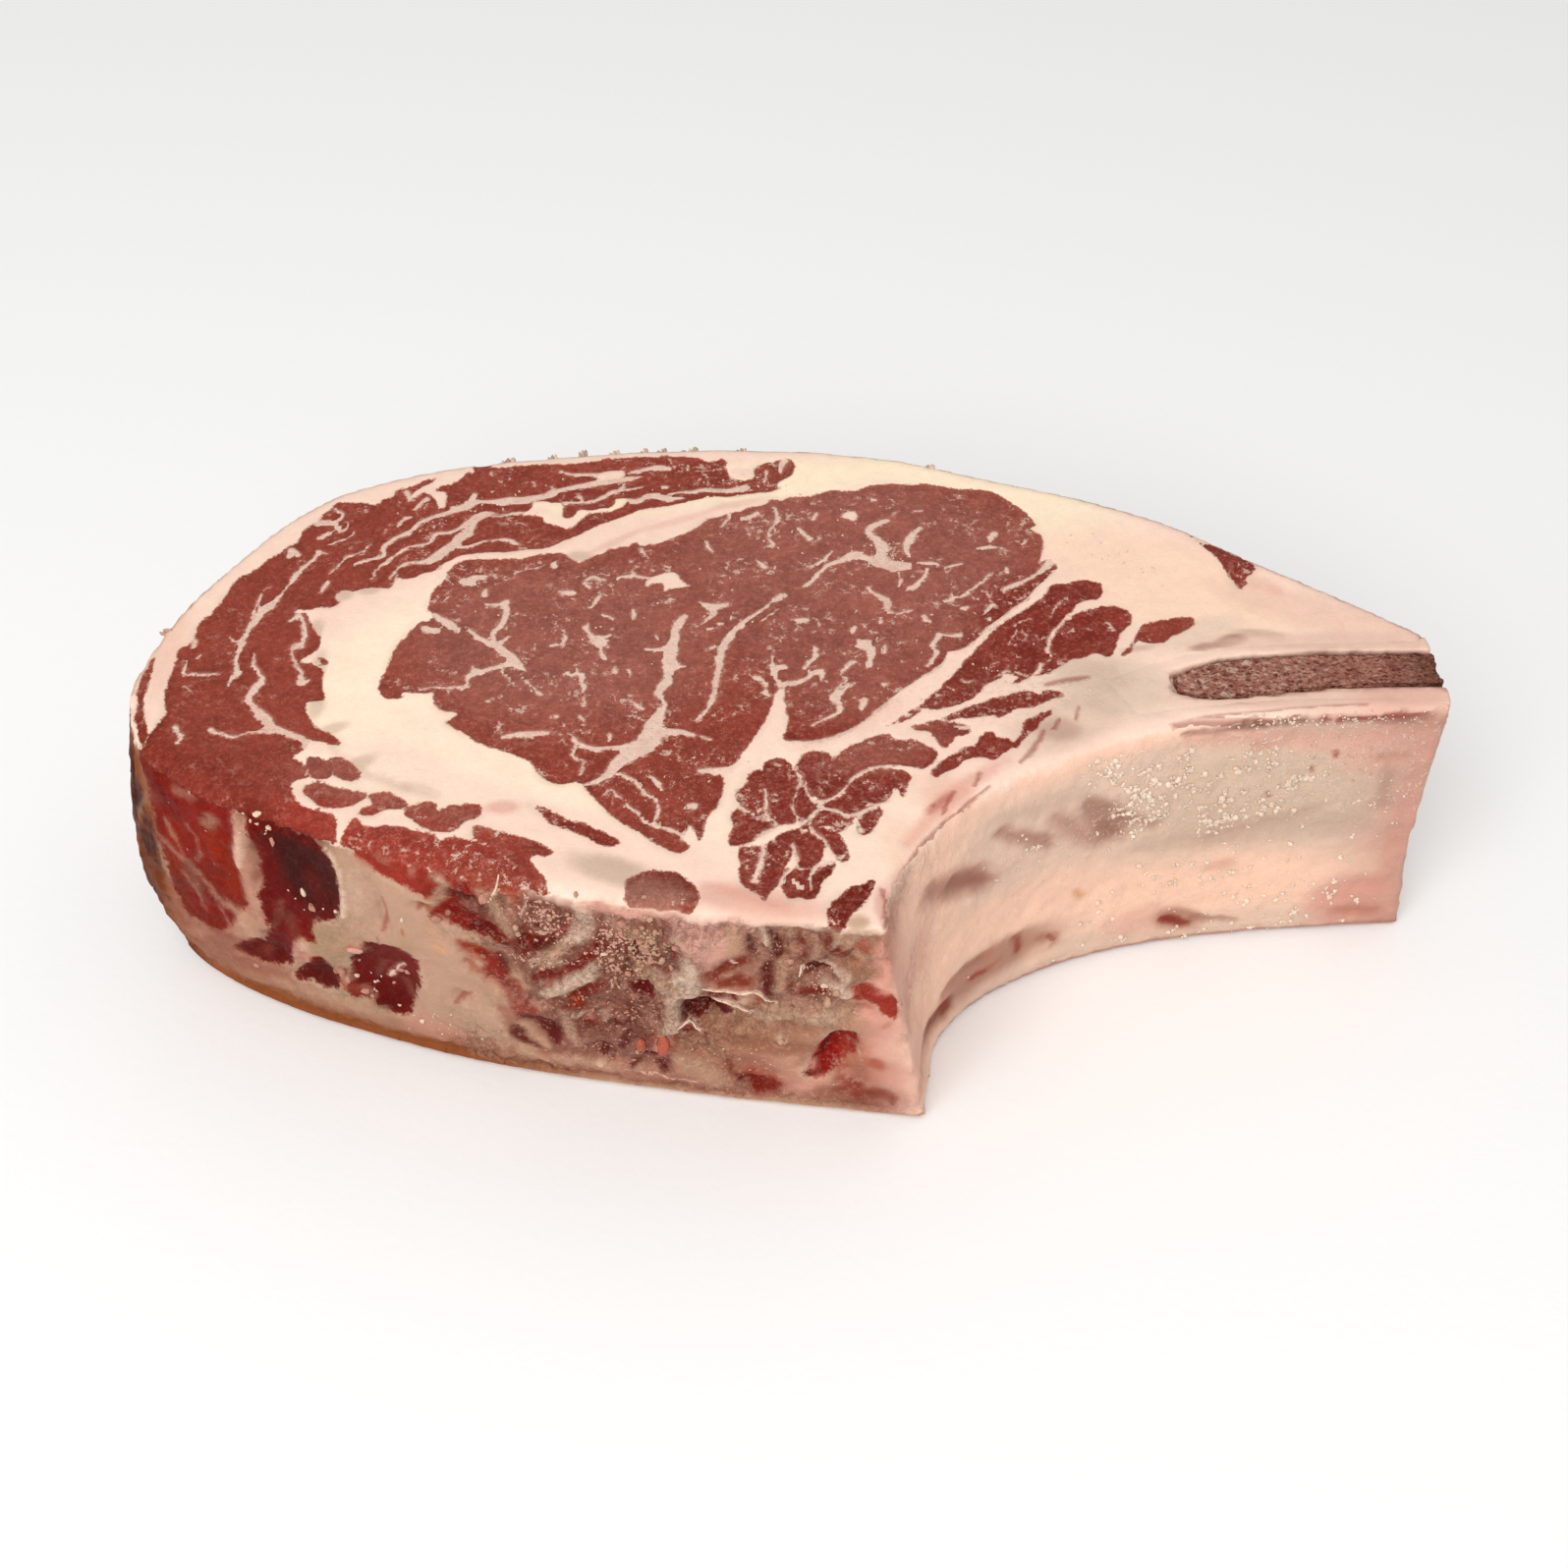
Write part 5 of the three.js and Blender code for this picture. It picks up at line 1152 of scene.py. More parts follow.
wallRed .6 1 10,11,2.6 12.4,9 9.6,7.4,2.4
wallBrown .7 1 12.6,6,3 16.6,6.8 18.6,5.4,2
salmon .6 1.2 6,10,3 3,7 1.5,4.5,2
tan .5 1 14.6,9.6,1.4 17.6,9.4
plum .85 2 24.5,45,3 28,41,5 32,37.5,6 35.5,33.5,3
purple .7 1.5 29,40,3 34,35
plum .8 1.5 37,45.5,2.5 41,41.5,3 44.5,38.5,3.5 46.2,36,2
purple .7 1.6 52.5,44,3 55.5,39.5,6 58,35.5 59.5,32,3
plum .7 2 47,43,3 50,38.5,4 53,35 56,32,3
mauve .4 1.2 56,36,3 58,33
purple .5 1.5 61,36,3 65,33.5
grey .5 1.5 37,49,3 45,47,4 51,47
peach .8 2 28,54,4 45,53.5,5 60,54
pink .6 2 70,53.5,4 90,50 105,50,5
grey .5 2 64,28,3 75,27.5 90,28.5 104,30,4
purple .25 2 76,27.5,2.5 95,33,2
mauve .8 1 25.6,10,2.4 28.5,8,3 29.5,5.6,2
wallBrown .7 .8 27,8.6,1.6 29.4,8.4,1.8 29.8,6.4,1.4
veil .6 1.2 29,12.5,2 33,13.5,2.6 36.5,13,2.2
brick .5 .8 34.5,8.6,2 37.5,8.8,1.6 39,9.6,1
rose .6 .8 36.8,12.6,1.6 40.6,13.4,1.4
veil .8 .8 42,13.6,1.6 42.9,11,2 42.6,9.4,1.6
veil .6 1 47,10.4,2 49.6,10,1.6 49,7.6,1.4
orange .8 .8 52.3,20.6,1 53.6,18.6,1.6
pink .8 1.4 -31,55.5,3 -24,55,4.5 -14,54.6,4 -6,55.6,3.4
salmon .5 .7 -22,56,1.4 -12,55.6,1.6 -4,56,1.4
pale .7 1.2 -6,56.4,3 4,56 12,56 20,56,3.4
darkRed .85 .6 70,7,1.4 72,6.4,2 74,5.4,1.6 75.6,4.9,.8
mauve .6 .8 76,6.6,1.6 79,5.9,1.4 84,4.6,1
brick .42 1.6 104,5,3 110,5
salmon .5 2 101,8,3 109,12,5
pink .6 1.6 111,50,2.5 111.6,38,3 111.6,26 112,14
purple .35 1.5 106,42,2 107,33,3
brick .35 .6 92.2,43.4,1 92.2,42.8
brick .35 .6 95.9,47,1.2 96,46.2,1
rose .5 .8 81.6,50,1.6 84,49.8
rose .5 .8 104,45.2,2 108.5,45.6,1.4
rose .4 1 77,19,2 80.5,19.8,3
darkRed .85 .5 73,57,1 78,56.8,1.4 84,56.9,1.2 88,57.1,.7
wallBrown .8 .5 91,56.4,.8 95,55.8,1.4 98,56.6,1 102,55.6,1.6 105,56,1
mauve .5 .8 88,55,1.6 98,54.6,2 107,54,2.4 111,55,2
mauve .7 .6 82,55.6,1 86,54.6,1.2
"""


# What a face shows at a list of flat places: the depth in the lean, and the nearest seam and streak
class Pattern:
    def __init__(self, face, seams, streaks, reach):
        self.outlines = {part: [shapeOf(row, True, 0.3) for row in rowsOf(face[part])] for part in face}
        self.seams = [shapeOf(row, False, 0.25) for row in rowsOf(seams)]
        self.streaks = [shapeOf(row, False, 0.25) for row in rowsOf(streaks)]
        self.reach = reach

    def at(self, places):
        found = {"lean": leanDepthAt(places, **self.outlines)}
        found["seam"], found["seamEdge"] = nearestLine(places, self.seams, self.reach)
        found["streak"], found["streakEdge"] = nearestLine(places, self.streaks, self.reach)
        return found


cutPattern = Pattern(cutFace, cutSeams, cutStreaks, reach=3.4)
wallPattern = Pattern(wallFace, wallSeams, wallStreaks, reach=3.0)
print("patterns read")


# Where the front wall shows fewer fibres: "x z radiusX radiusZ turn share"
wallCalm = """
8 15 17 11 -4 .85
-26 9 18 8 0 .55
-44 14 8 9 0 .5
-9 40 4.6 10 0 .7
-51 26 8 13 20 .7
-60 30 8 26 0 .6
16 30 4 22 -14 .8
-32 55 16 2.2 0 .6
"""

# The ground colours of the walls change along the steak: x in mm, then the colour; the olive and brown at the
# left end are partly painted shade and a painted dark reflection
wallGround = """
-116 olive  -111 brown  -107 veil  -93 rose  -80 greenTan  -58 column  -50 tan  -40 mauve  -20 mauve
-10 rose  8 tan  16 rose  22 rimFat  27 peach  34 membrane  100 membrane  112 pink
"""
wallLeanGround = """
-116 wallBrown  -108 wallBrown  -95 wallRed  -70 pocket  -55 wallRed  -40 wallBrown  -20 darkRed
0 darkRed  20 bright
"""
# the lowest edge's colours along x; its olive at the left end is painted shade and a painted dark reflection
lowEdge = "-116 olive  -104 brown  -50 brown  -30 tan  116 rose"
backGround = "-116 rimFat  -100 capFat  -40 capFat  40 warmFat  90 fat  116 rimFat"

# How strongly the fibres show along the front walls, and the share of them that leans / or \ or lies level
fibreStrength = "-116 .3  -95 .3  -75 .25  -62 .15  -57 .75  -10 .7  20 .4  27 .12"
slashShare = "-116 .6  -95 .6  -88 0  -45 0  -41 .9  -30 .9  -25 0"
backslashShare = "-63 0  -58 .8  -47 .8  -43 0  24 0  30 .6  50 .6  60 .1"
levelShare = "40 0  62 .8"

# How brown the walls' lowest stretch is, and how the rib's own wall is turned to the light
lowBrown = "-110 .3  -100 .8  -55 .7  -30 .2  20 0"
ribLight = "16 1  26 1.08  95 1.04  110 .88"


def groundColour(stops, x, light):
    words = stops.split()
    table = np.array([linear(palette[name], light) for name in words[1::2]])
    return np.stack([np.interp(x, np.array(words[::2], float), column) for column in table.T], -1)


def along(stops, x):
    numbers = np.array(stops.split(), float)
    return np.interp(x, numbers[::2], numbers[1::2])


cutSettings = {
    "lobes": [(6, -38, 22, 20, -20), (-64, -33, 19, 9, -15)],  # ovals where small muscles crowd
    "lobeSwell": 0.3,
    "lobeFrost": 0.14,
    "ribside": (44, -9, 20, 6, 14),  # the oval beside the rib where frost lies
    "ribsideFrost": 0.6,
    "soft": 0.3,
    "wet": 0.12,
}


# What the cut face shows at flat places (x, y), in mm
def paintCut(flat):
    canvas = Canvas(flat, topLight)
    fat = np.tile(linear(palette["seam"]), (len(flat), 1))
    lean = np.tile(linear(palette["cap"]), (len(flat), 1))
    canvas.ovals(fat, cutFatTints)
    canvas.strokes([fat], cutStrokes)
    canvas.ovals(lean, cutLeanTints)
    plain = np.ones(len(flat))
    lobes = np.max([1 - blendIn(0.7, 1.2, ovalReach(flat, *oval)) for oval in cutSettings["lobes"]], 0)
    ribside = 1 - blendIn(0.5, 1.3, ovalReach(flat, *cutSettings["ribside"]))
    found = {"fatTint": fat, "leanTint": lean, "soft": cutSettings["soft"] * plain}
    found["grain"] = np.zeros((len(flat), 3))
    found["fleck"] = 1 - 0.4 * blendIn(-58, -80, flat[:, 0])
    found["coarse"] = 0 * plain
    found["frost"] = np.maximum(cutSettings["ribsideFrost"] * ribside, cutSettings["lobeFrost"] * lobes)
    found["wet"] = cutSettings["wet"] * plain
    found.update(cutPattern.at(flat))
    found["lean"] += cutSettings["lobeSwell"] * lobes
    return found


# What the front walls show at flat places (x, z)
def paintWall(flat):
    x, z = flat.T
    canvas = Canvas(flat, wallLight)
    fat, lean = groundColour(wallGround, x, wallLight), groundColour(wallLeanGround, x, wallLight)
    canvas.ovals(fat, wallFatTints)
    canvas.ovals(lean, wallLeanTints)
    canvas.strokes((fat, lean), wallStrokes)
    canvas.lay([fat], slice(None), "brown", blendIn(7, 1, z) * along(lowBrown, x))
    fat = np.clip(fat * along(ribLight, x)[:, None], 0, brightest)
    found = {"fatTint": fat, "leanTint": lean, **wallPattern.at(flat)}
    found["soft"] = 0.6 + 0 * x
    found["fleck"] = 0.1 * blendIn(-80, -50, x) + 0.02
    found["coarse"] = along(fibreStrength, x)
    for row in rowsOf(wallCalm):
        *oval, calm = map(float, row)
        found["coarse"] *= 1 - calm * (1 - blendIn(0.7, 1.3, ovalReach(flat, *oval)))
    found["grain"] = np.stack([along(stops, x) for stops in (slashShare, backslashShare, levelShare)], -1)
    sawn = blendIn(-60, -50, x) * blendIn(17, 12, x)
    membrane = blendIn(40, 62, x) * blendIn(26, 34, z) * blendIn(56, 52, z)
    found["frost"] = np.maximum(0.2 * sawn, 0.7 * membrane)
    green = np.where(found["lean"] > 0, lean[:, 1], fat[:, 1])
    found["wet"] = 0.25 * blendIn(0.3, 0.06, green) * blendIn(-112, -104, x)
    return found


# What the capped back shows, and the left end, whose brown is partly its own dry edge and partly painted
# shade, and whose olive is a painted dark reflection
def paintBack(places):
    x, y, z = places.T
    plain = np.ones(len(x))
    fat = groundColour(backGround, x, wallLight)
    canvas = Canvas(places[:, [0, 2]], wallLight, 1.5)
    mottle = 0.5 + canvas.ragged
    canvas.lay([fat], slice(None), "pink", 0.35 * blendIn(0.3, 1.2, mottle))
    canvas.lay([fat], slice(None), "tan", 0.5 * blendIn(9, 2, z) + 0.25 * blendIn(0.6, 0, mottle))
    band = 0.5 + 0.5 * roughnessAt(places * (0.2, 0.6, 0.25), 3.0)
    # the left end, seen at a slant, is painted brown for shade and olive for a dark reflection
    leftEndShadeAndReflection = 0.9 * blendIn(-108, -113, x) * blendIn(22, 6, y)
    canvas.lay([fat], slice(None), "brown", leftEndShadeAndReflection)
    canvas.lay([fat], slice(None), "olive", leftEndShadeAndReflection * blendIn(0.2, 0.8, band))
    found = {"fatTint": fat, "leanTint": np.tile(linear(palette["cap"], wallLight), (len(x), 1))}
    found["seam"] = found["streak"] = np.tile((farAway, 0.0, 0.0), (len(x), 1))
    found.update(lean=-farAway * plain, seamEdge=farAway * plain, streakEdge=farAway * plain)
    found.update(soft=plain, fleck=0 * plain, frost=0 * plain, coarse=0.1 * plain, wet=0 * plain)
    found["grain"] = np.tile((0.0, 0.0, 0.7), (len(x), 1))
    return found


# The way over the cut's edge in mm: below it on the given walls, and less than nothing on the cut
def overRim(places, ways, walls, top):
    z = places[:, 2]
    near = (z > cutHeight - 3.5) & (z < cutHeight - 0.6) & (np.abs(ways[:, 2]) < 0.5)
    ring = np.flatnonzero(walls & near)
    rim = np.where(walls, cutHeight - z, -99.0)
    if len(ring):
        tree = treeOf(places[ring], ring)
        for i in np.flatnonzero(top):
            rim[i] = -tree.find((*places[i, :2], 0))[2]
    return rim


# Everything that the finish needs at each vertex, from its place and the way it faces (mm)
def paintMeat(places, ways):
    count = len(places)
    x, y, z = places.T
    top = (z > 50) & ((ways[:, 2] > 0.5) | (z > cutHeight - 0.7))
    foot = (z < 6) & ((ways[:, 2] < -0.5) | (z < 0.5)) & ~top
    front = ~top & ~foot & ((ways[:, 1] < -0.25) | ((ways[:, 0] > 0.3) & (y < -16) & (x < 60)))
    back = ~top & ~foot & ~front
    data = {}

    def put(mask, found):
        for name, values in found.items():
            data.setdefault(name, np.zeros((count, *values.shape[1:])))[mask] = values

    # the lower cut face repeats the upper one a little changed, as the next slice would
    flat = places[:, :2].copy()
    drift = np.stack([roughnessAt(flat[foot], 30, height=height) for height in (3, 40)], -1)
    flat[foot] = flat[foot] * (1.0, 1.02) + (-1.5, -1.0) + 4.0 * drift
    put(top | foot, paintCut(flat[top | foot]))
    put(front, paintWall(places[:, [0, 2]][front]))
    put(back, paintBack(places[back]))
    low = foot & (ways[:, 2] > -0.93)
    data["fatTint"][low] = groundColour(lowEdge, x[low], wallLight)
    data["lean"][low], data["seamEdge"][low], data["streakEdge"][low] = -farAway, farAway, farAway
    # the cut's far edge is dried
    rim = overRim(places, ways, front, top)
    behind = overRim(places, ways, back, top)
    dried = top & (behind > -1.6) & ~(rim > -3)
    worn = 0.5 + 0.7 * roughnessAt(places[dried], 2.5, height=50)
    worn = (worn * blendIn(-1.5, -0.2, behind[dried]) * 0.8)[:, None]
    data["fatTint"][dried] = data["fatTint"][dried] * (1 - worn) + linear(palette["rust"]) * worn
    # the pattern of the cut and that of the wall run into each other over the front edge
    edge = (front & (rim < 5)) | (top & (rim > -3))
    flat = np.where(top[edge, None], np.stack([x, z - 0.6], -1)[edge], places[edge, :2])
    other = np.flatnonzero(top[edge])
    mixed = {name: values.copy() for name, values in paintCut(flat).items()}
    for name, values in paintWall(flat[other]).items():
        mixed[name][other] = values
    ragged = roughnessAt(places[edge], 2.5, height=11) + roughnessAt(places[edge], 8, height=90)
    share = blendIn(-1.0, 3.2, rim[edge] + 1.3 * ragged)
    share = np.where(top[edge], share, 1 - share)
    for name, values in mixed.items():
        here = data[name][edge]
        given = share > 0.5 if name in ("seam", "streak", "seamEdge", "streakEdge") else share
        if name == "lean":
            values, here = np.clip(values, -1.5, 1.5), np.clip(here, -1.5, 1.5)
        given = given[:, None] if values.ndim > 1 else given
        data[name][edge] = here * (1 - given) + values * given
    return data, {"top": top, "front": front, "back": back, "rim": rim}


# A shader value: expressions on it add Math nodes
class Value:
    def __init__(self, finish, socket):
        self.finish = finish
        self.socket = socket

    def maths(self, operation, *others):
        return self.finish.add("ShaderNodeMath", {"operation": operation}, dict(enumerate((self, *others))))

    def __add__(self, other):
        return self.maths("ADD", other)

    def __sub__(self, other):
        return self.maths("SUBTRACT", other)

    def __rsub__(self, other):
        return self.finish.add("ShaderNodeMath", {"operation": "SUBTRACT"}, {0: other, 1: self})

    def __mul__(self, other):
        return self.maths("MULTIPLY", other)

    def __truediv__(self, other):
        return self.maths("DIVIDE", other)

    __radd__ = __add__
    __rmul__ = __mul__

    def clamped(self):
        return self.finish.add("ShaderNodeMath", {"operation": "ADD", "use_clamp": True}, {0: self, 1: 0.0})

    def between(self, low, high):
        inputs = {"Value": self, "From Min": low, "From Max": high}
        return self.finish.add("ShaderNodeMapRange", {"interpolation_type": "SMOOTHSTEP"}, inputs)


# A material that is being made, and the one method that adds its nodes
class Finish:
    def __init__(self, name):
        self.material = bpy.data.materials.new(name)
        self.material.use_nodes = True
        self.nodes = self.material.node_tree.nodes
        self.links = self.material.node_tree.links
        self.nodes.clear()

    def add(self, kind, settings, inputs, output=0):
        node = self.nodes.new(kind)
        for name, value in settings.items():
            setattr(node, name, value)
        for name, value in inputs.items():
            if isinstance(value, Value):
                self.links.new(value.socket, node.inputs[name])
            else:
                node.inputs[name].default_value = value
        return Value(self, node.outputs[output]) if len(node.outputs) else None

    def attribute(self, name, output="Fac"):
        return self.add("ShaderNodeAttribute", {"attribute_name": name}, {}, output)

    def parts(self, vector):
        first = self.add("ShaderNodeSeparateXYZ", {}, {0: vector})
        return [Value(self, socket) for socket in first.socket.node.outputs]

    def millimetres(self):
        return self.scaled(self.add("ShaderNodeTexCoord", {}, {}, "Object"), (1 / mm,) * 3)

    def scaled(self, vector, scale):
        return self.add("ShaderNodeVectorMath", {"operation": "MULTIPLY"}, {0: vector, 1: scale})

    def turned(self, vector, angle):
        inputs = {"Vector": vector, "Angle": angle}
        return self.add("ShaderNodeVectorRotate", {"rotation_type": "Y_AXIS"}, inputs)

    # noise about zero that seldom leaves -1 to 1
    def noise(self, vector, scale, detail=2.0, rough=0.5):
        inputs = {"Vector": vector, "Scale": scale, "Detail": detail, "Roughness": rough}
        return (self.add("ShaderNodeTexNoise", {}, inputs) - 0.5) * 4.5

    def cells(self, vector, scale):
        return self.add("ShaderNodeTexVoronoi", {}, {"Vector": vector, "Scale": scale}, "Distance")

    def mixed(self, first, second, share):
        colours = {0: share, 6: self.colour(first), 7: self.colour(second)}
        return self.add("ShaderNodeMix", {"data_type": "RGBA"}, colours, 2)

    def multiplied(self, first, factor):
        return self.add("ShaderNodeVectorMath", {"operation": "SCALE"}, {0: first, 3: factor})

    def colour(self, value):
        return value if isinstance(value, Value) else (*linear(palette[value]), 1.0)

    def surface(self, inputs, height, depth):
        bump = self.add("ShaderNodeBump", {}, {"Distance": depth, "Height": height})
        shader = self.add("ShaderNodeBsdfPrincipled", {}, {**inputs, "Normal": bump})
        self.add("ShaderNodeOutputMaterial", {}, {"Surface": shader})
        return self.material


# How far inside the nearest listed line a point lies, in mm; the line's way there is bent by two noises
def lineDepth(finish, name, bends, wobble):
    across, up, half = finish.parts(finish.attribute(name, "Vector"))
    across, up = across + bends[0], up + bends[1]
    return half + wobble - (across * across + up * up).maths("SQRT")


# Swaying fibres that stand upright or, by the shares in the attribute grain, lean either way or lie level
def meatFibres(finish, place):
    drawn = (1, 1, 0.28)
    sway = finish.add("ShaderNodeTexNoise", {}, {"Vector": place, "Scale": 0.3, "Detail": 2.0}, "Color")
    bent = {0: sway, 1: (7, 7, 7), 2: place}
    bent = finish.add("ShaderNodeVectorMath", {"operation": "MULTIPLY_ADD"}, bent)
    fibres = finish.noise(finish.scaled(bent, drawn), 0.9, 4, 0.7)
    for turn, share in zip((-45, 45, 90), finish.parts(finish.attribute("grain", "Vector"))):
        way = finish.scaled(finish.turned(bent, math.radians(turn)), drawn)
        fibres = fibres + (finish.noise(way, 0.9, 4, 0.7) - fibres) * share
    return fibres


def meatFinish(name):
    finish = Finish(name)
    place = finish.millimetres()
    broad = finish.noise(place, 0.11, 3, 0.55)
    middle = finish.noise(place, 0.42, 3, 0.6)
    shifted = finish.noise(finish.scaled(place, (-1, -1, -1)), 0.7, 3, 0.65)
    fine = finish.noise(place, 1.3, 3, 0.65)
    tiny = finish.noise(place, 4.0, 2, 0.6)
    fibres = meatFibres(finish, place)
    coarse = finish.attribute("coarse")
    fleck = finish.attribute("fleck")
    soft = finish.attribute("soft")
    ragged = (middle * 0.75 + shifted * 0.4 + fine * 0.85 + tiny * 0.25) * soft
    lean = finish.attribute("lean") + ragged + fibres * coarse * 1.3
    leanMask = (lean / soft).between(-0.8, 0.8)
    # seams: the nearest line's own shape, held to where that line's edge really is
    seamEdge = finish.attribute("seamEdge")
    bends = (middle * 0.3 + fine * 0.22, shifted * 0.34)
    seamDepth = lineDepth(finish, "seam", bends, shifted * 0.16 - 0.04)
    held = seamEdge.between(0.6, 0.3)
    seam = (seamDepth.between(-0.22, 0.26) * held).maths("MAXIMUM", seamEdge.between(-0.1, -0.4))
    blush = seamDepth.between(-1.1, 0.1) * held * shifted.between(-0.6, 0.5)
    bends = (middle * 0.15, shifted * 0.15)
    streakDepth = lineDepth(finish, "streak", bends, shifted * 0.2 - 0.02)
    streak = streakDepth.between(-0.5, 0.45) * finish.attribute("streakEdge").between(0.8, 0.2)
    # fine marbling: short threads, clusters and dots of fat; the pale dots are also painted glints
    gathered = finish.noise(place, 0.14, 2, 0.5).between(-0.25, 0.45)
    thread = shifted.maths("ABSOLUTE").between(0.2, 0.03) * middle.between(-0.3, 0.5)
    cluster = finish.noise(place, 0.75, 4, 0.72).between(0.1, 0.55)
    fatDotsAndGlints = finish.cells(place, 1.15).between(0.22, 0.1) * tiny.between(0.1, 0.5)
    marbling = (thread * 0.55 + cluster * 0.9) * (gathered * 0.75 + 0.25) * fleck
    grain = (fine.between(0.1, 0.9) * 0.25 + fatDotsAndGlints * 0.7) * fleck
    lightness = 1.0 + broad * 0.12 + middle * 0.14 + fine * 0.18 + tiny * 0.1 + fibres * coarse * 0.35
    leanColour = finish.multiplied(finish.attribute("leanTint", "Color"), lightness.maths("MAXIMUM", 0.35))
    marbled = finish.mixed(leanColour, "blush", (marbling * 0.8 + grain).clamped())
    # the pale dots, partly specks of fat and partly painted glints, whiten the lean toward gristle
    marbled = finish.mixed(marbled, "gristle", (marbling * 1.5 - 0.75 + fatDotsAndGlints * fleck * 0.5).clamped())
    blushed = finish.mixed(marbled, "blush", blush * 0.5)
    lightness = 1.0 + broad * 0.03 + middle * 0.03 + fine * 0.03 + fibres * coarse * 0.25
    fatColour = finish.multiplied(finish.attribute("fatTint", "Color"), lightness)
    film = lean.between(-1.7, -0.2) * broad.between(-0.3, 0.5)
    filmed = finish.mixed(fatColour, "film", film * 0.3)
    filmed = finish.mixed(filmed, "rose", (fibres - 0.35).between(0, 0.5) * coarse * 0.35)
    meat = finish.mixed(filmed, blushed, leanMask)
    seamColour = finish.mixed("seam", "salmon", fine.between(0.1, 0.9) * 0.3 + broad.between(0, 0.8) * 0.2)
    seamed = finish.mixed(meat, seamColour, seam * (0.93 + shifted * 0.1).clamped())
    streaked = finish.mixed(seamed, "vein", streak * 0.62)
    # on coarse walls: dark gaps between the fibres, pale strands picked out of them, and frost
    gaps = fibres.between(0.1, -0.45) * coarse * coarse * shifted.between(-0.9, 0.1)
    streaked = finish.mixed(streaked, "darkRed", gaps * 0.7)
    picked = fibres.between(0.2, 0.75) * coarse * coarse * fine.between(-0.7, 0.3) * 0.7
    dust = finish.noise(place, 0.9, 4, 0.75).between(0.15, 0.55) * finish.attribute("frost")
    colour = finish.mixed(finish.mixed(streaked, "strand", picked), "frost", dust * 0.8)
    bare = leanMask * (1 - seam)
    height = (fine * 0.14 + tiny * 0.12) * (leanMask + 0.3) + fibres * coarse * 0.9 + dust * 0.2 - bare * 0.3
    wet = finish.attribute("wet")
    links = {
        "Base Color": colour,
        "Roughness": (0.5 + fine * 0.08 - wet * 0.1).clamped(),
        "Coat Weight": tiny.between(0.45, 0.8) * middle.between(-0.1, 0.6) * wet,
        "Coat Roughness": 0.18,
        "Specular IOR Level": 0.07,
        "Subsurface Weight": 0.08,
        "Subsurface Radius": (1.0, 0.35, 0.2),
        "Subsurface Scale": 1.4 * mm,
    }
    return finish.surface(links, height, 0.45 * mm)


# A closed copy of CAD solids as one bmesh, with the loose triangles merged
def solidOf(*nodes):
    shape = bmesh.new()
    for node in nodes:
        shape.from_mesh(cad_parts[node].data)
    bmesh.ops.remove_doubles(shape, verts=shape.verts, dist=1e-6)
    return shape


def linked(name, data):
    thing = bpy.data.objects.new(name, data)
    bpy.context.collection.objects.link(thing)
    return thing


def pieceFrom(shape, name):
    mesh = bpy.data.meshes.new(name)
    shape.to_mesh(mesh)
    shape.free()
    return linked(name, mesh)


# An even skin of small squares over a solid
def remeshed(shape, name, voxel):
    rough = pieceFrom(shape, name + "Rough")
    remesh = rough.modifiers.new("Even skin", "REMESH")
    remesh.mode = "VOXEL"
    remesh.voxel_size = voxel * mm
    depsgraph = bpy.context.evaluated_depsgraph_get()
    even = bmesh.new()
    even.from_mesh(rough.evaluated_get(depsgraph).data)
    old = rough.data
    bpy.data.objects.remove(rough)
    bpy.data.meshes.remove(old)
    return even


def relax(shape, factor):
    axes = {"use_axis_x": True, "use_axis_y": True, "use_axis_z": True}
    bmesh.ops.smooth_vert(shape, verts=shape.verts, factor=factor, **axes)
    shape.normal_update()


def refine(shape, wanted):
    edges = set()
    for face in shape.faces:
        if wanted(face.normal, face.calc_center_median() / mm):
            edges.update(face.edges)
    bmesh.ops.subdivide_edges(shape, edges=list(edges), cuts=1, use_grid_fill=True)
    relax(shape, 0.35)


def vertexArrays(shape):
    shape.verts.ensure_lookup_table()
    places = np.array([v.co for v in shape.verts]) / mm
    ways = np.array([v.normal for v in shape.verts])
    return places, ways


def moveIn(shape, moves):
    for vert, move in zip(shape.verts, moves):
        vert.co -= Vector(move) * mm


def farFrom(tree, places):
    return np.array([tree.find_nearest(Vector(p) * mm)[3] for p in places]) / mm


kinds = {1: ("FLOAT", "value"), 2: ("FLOAT_VECTOR", "vector")}  # by an array's number of axes


def storeAttributes(mesh, data):
    for name, values in data.items():
        kind, field = kinds[values.ndim]
        if name.endswith("Tint"):
            kind, field, values = "FLOAT_COLOR", "color", np.insert(values, 3, 1, 1)
        mesh.attributes.new(name, kind, "POINT").data.foreach_set(field, values.ravel())


def finishPiece(piece, material, slot, *nodes):
    piece.data.materials.append(material)
    piece.data.shade_smooth()
    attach(piece, "root")
    if nodes:
        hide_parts(*nodes)
    print(piece.name, len(piece.data.loops) - 2 * len(piece.data.polygons), "triangles")


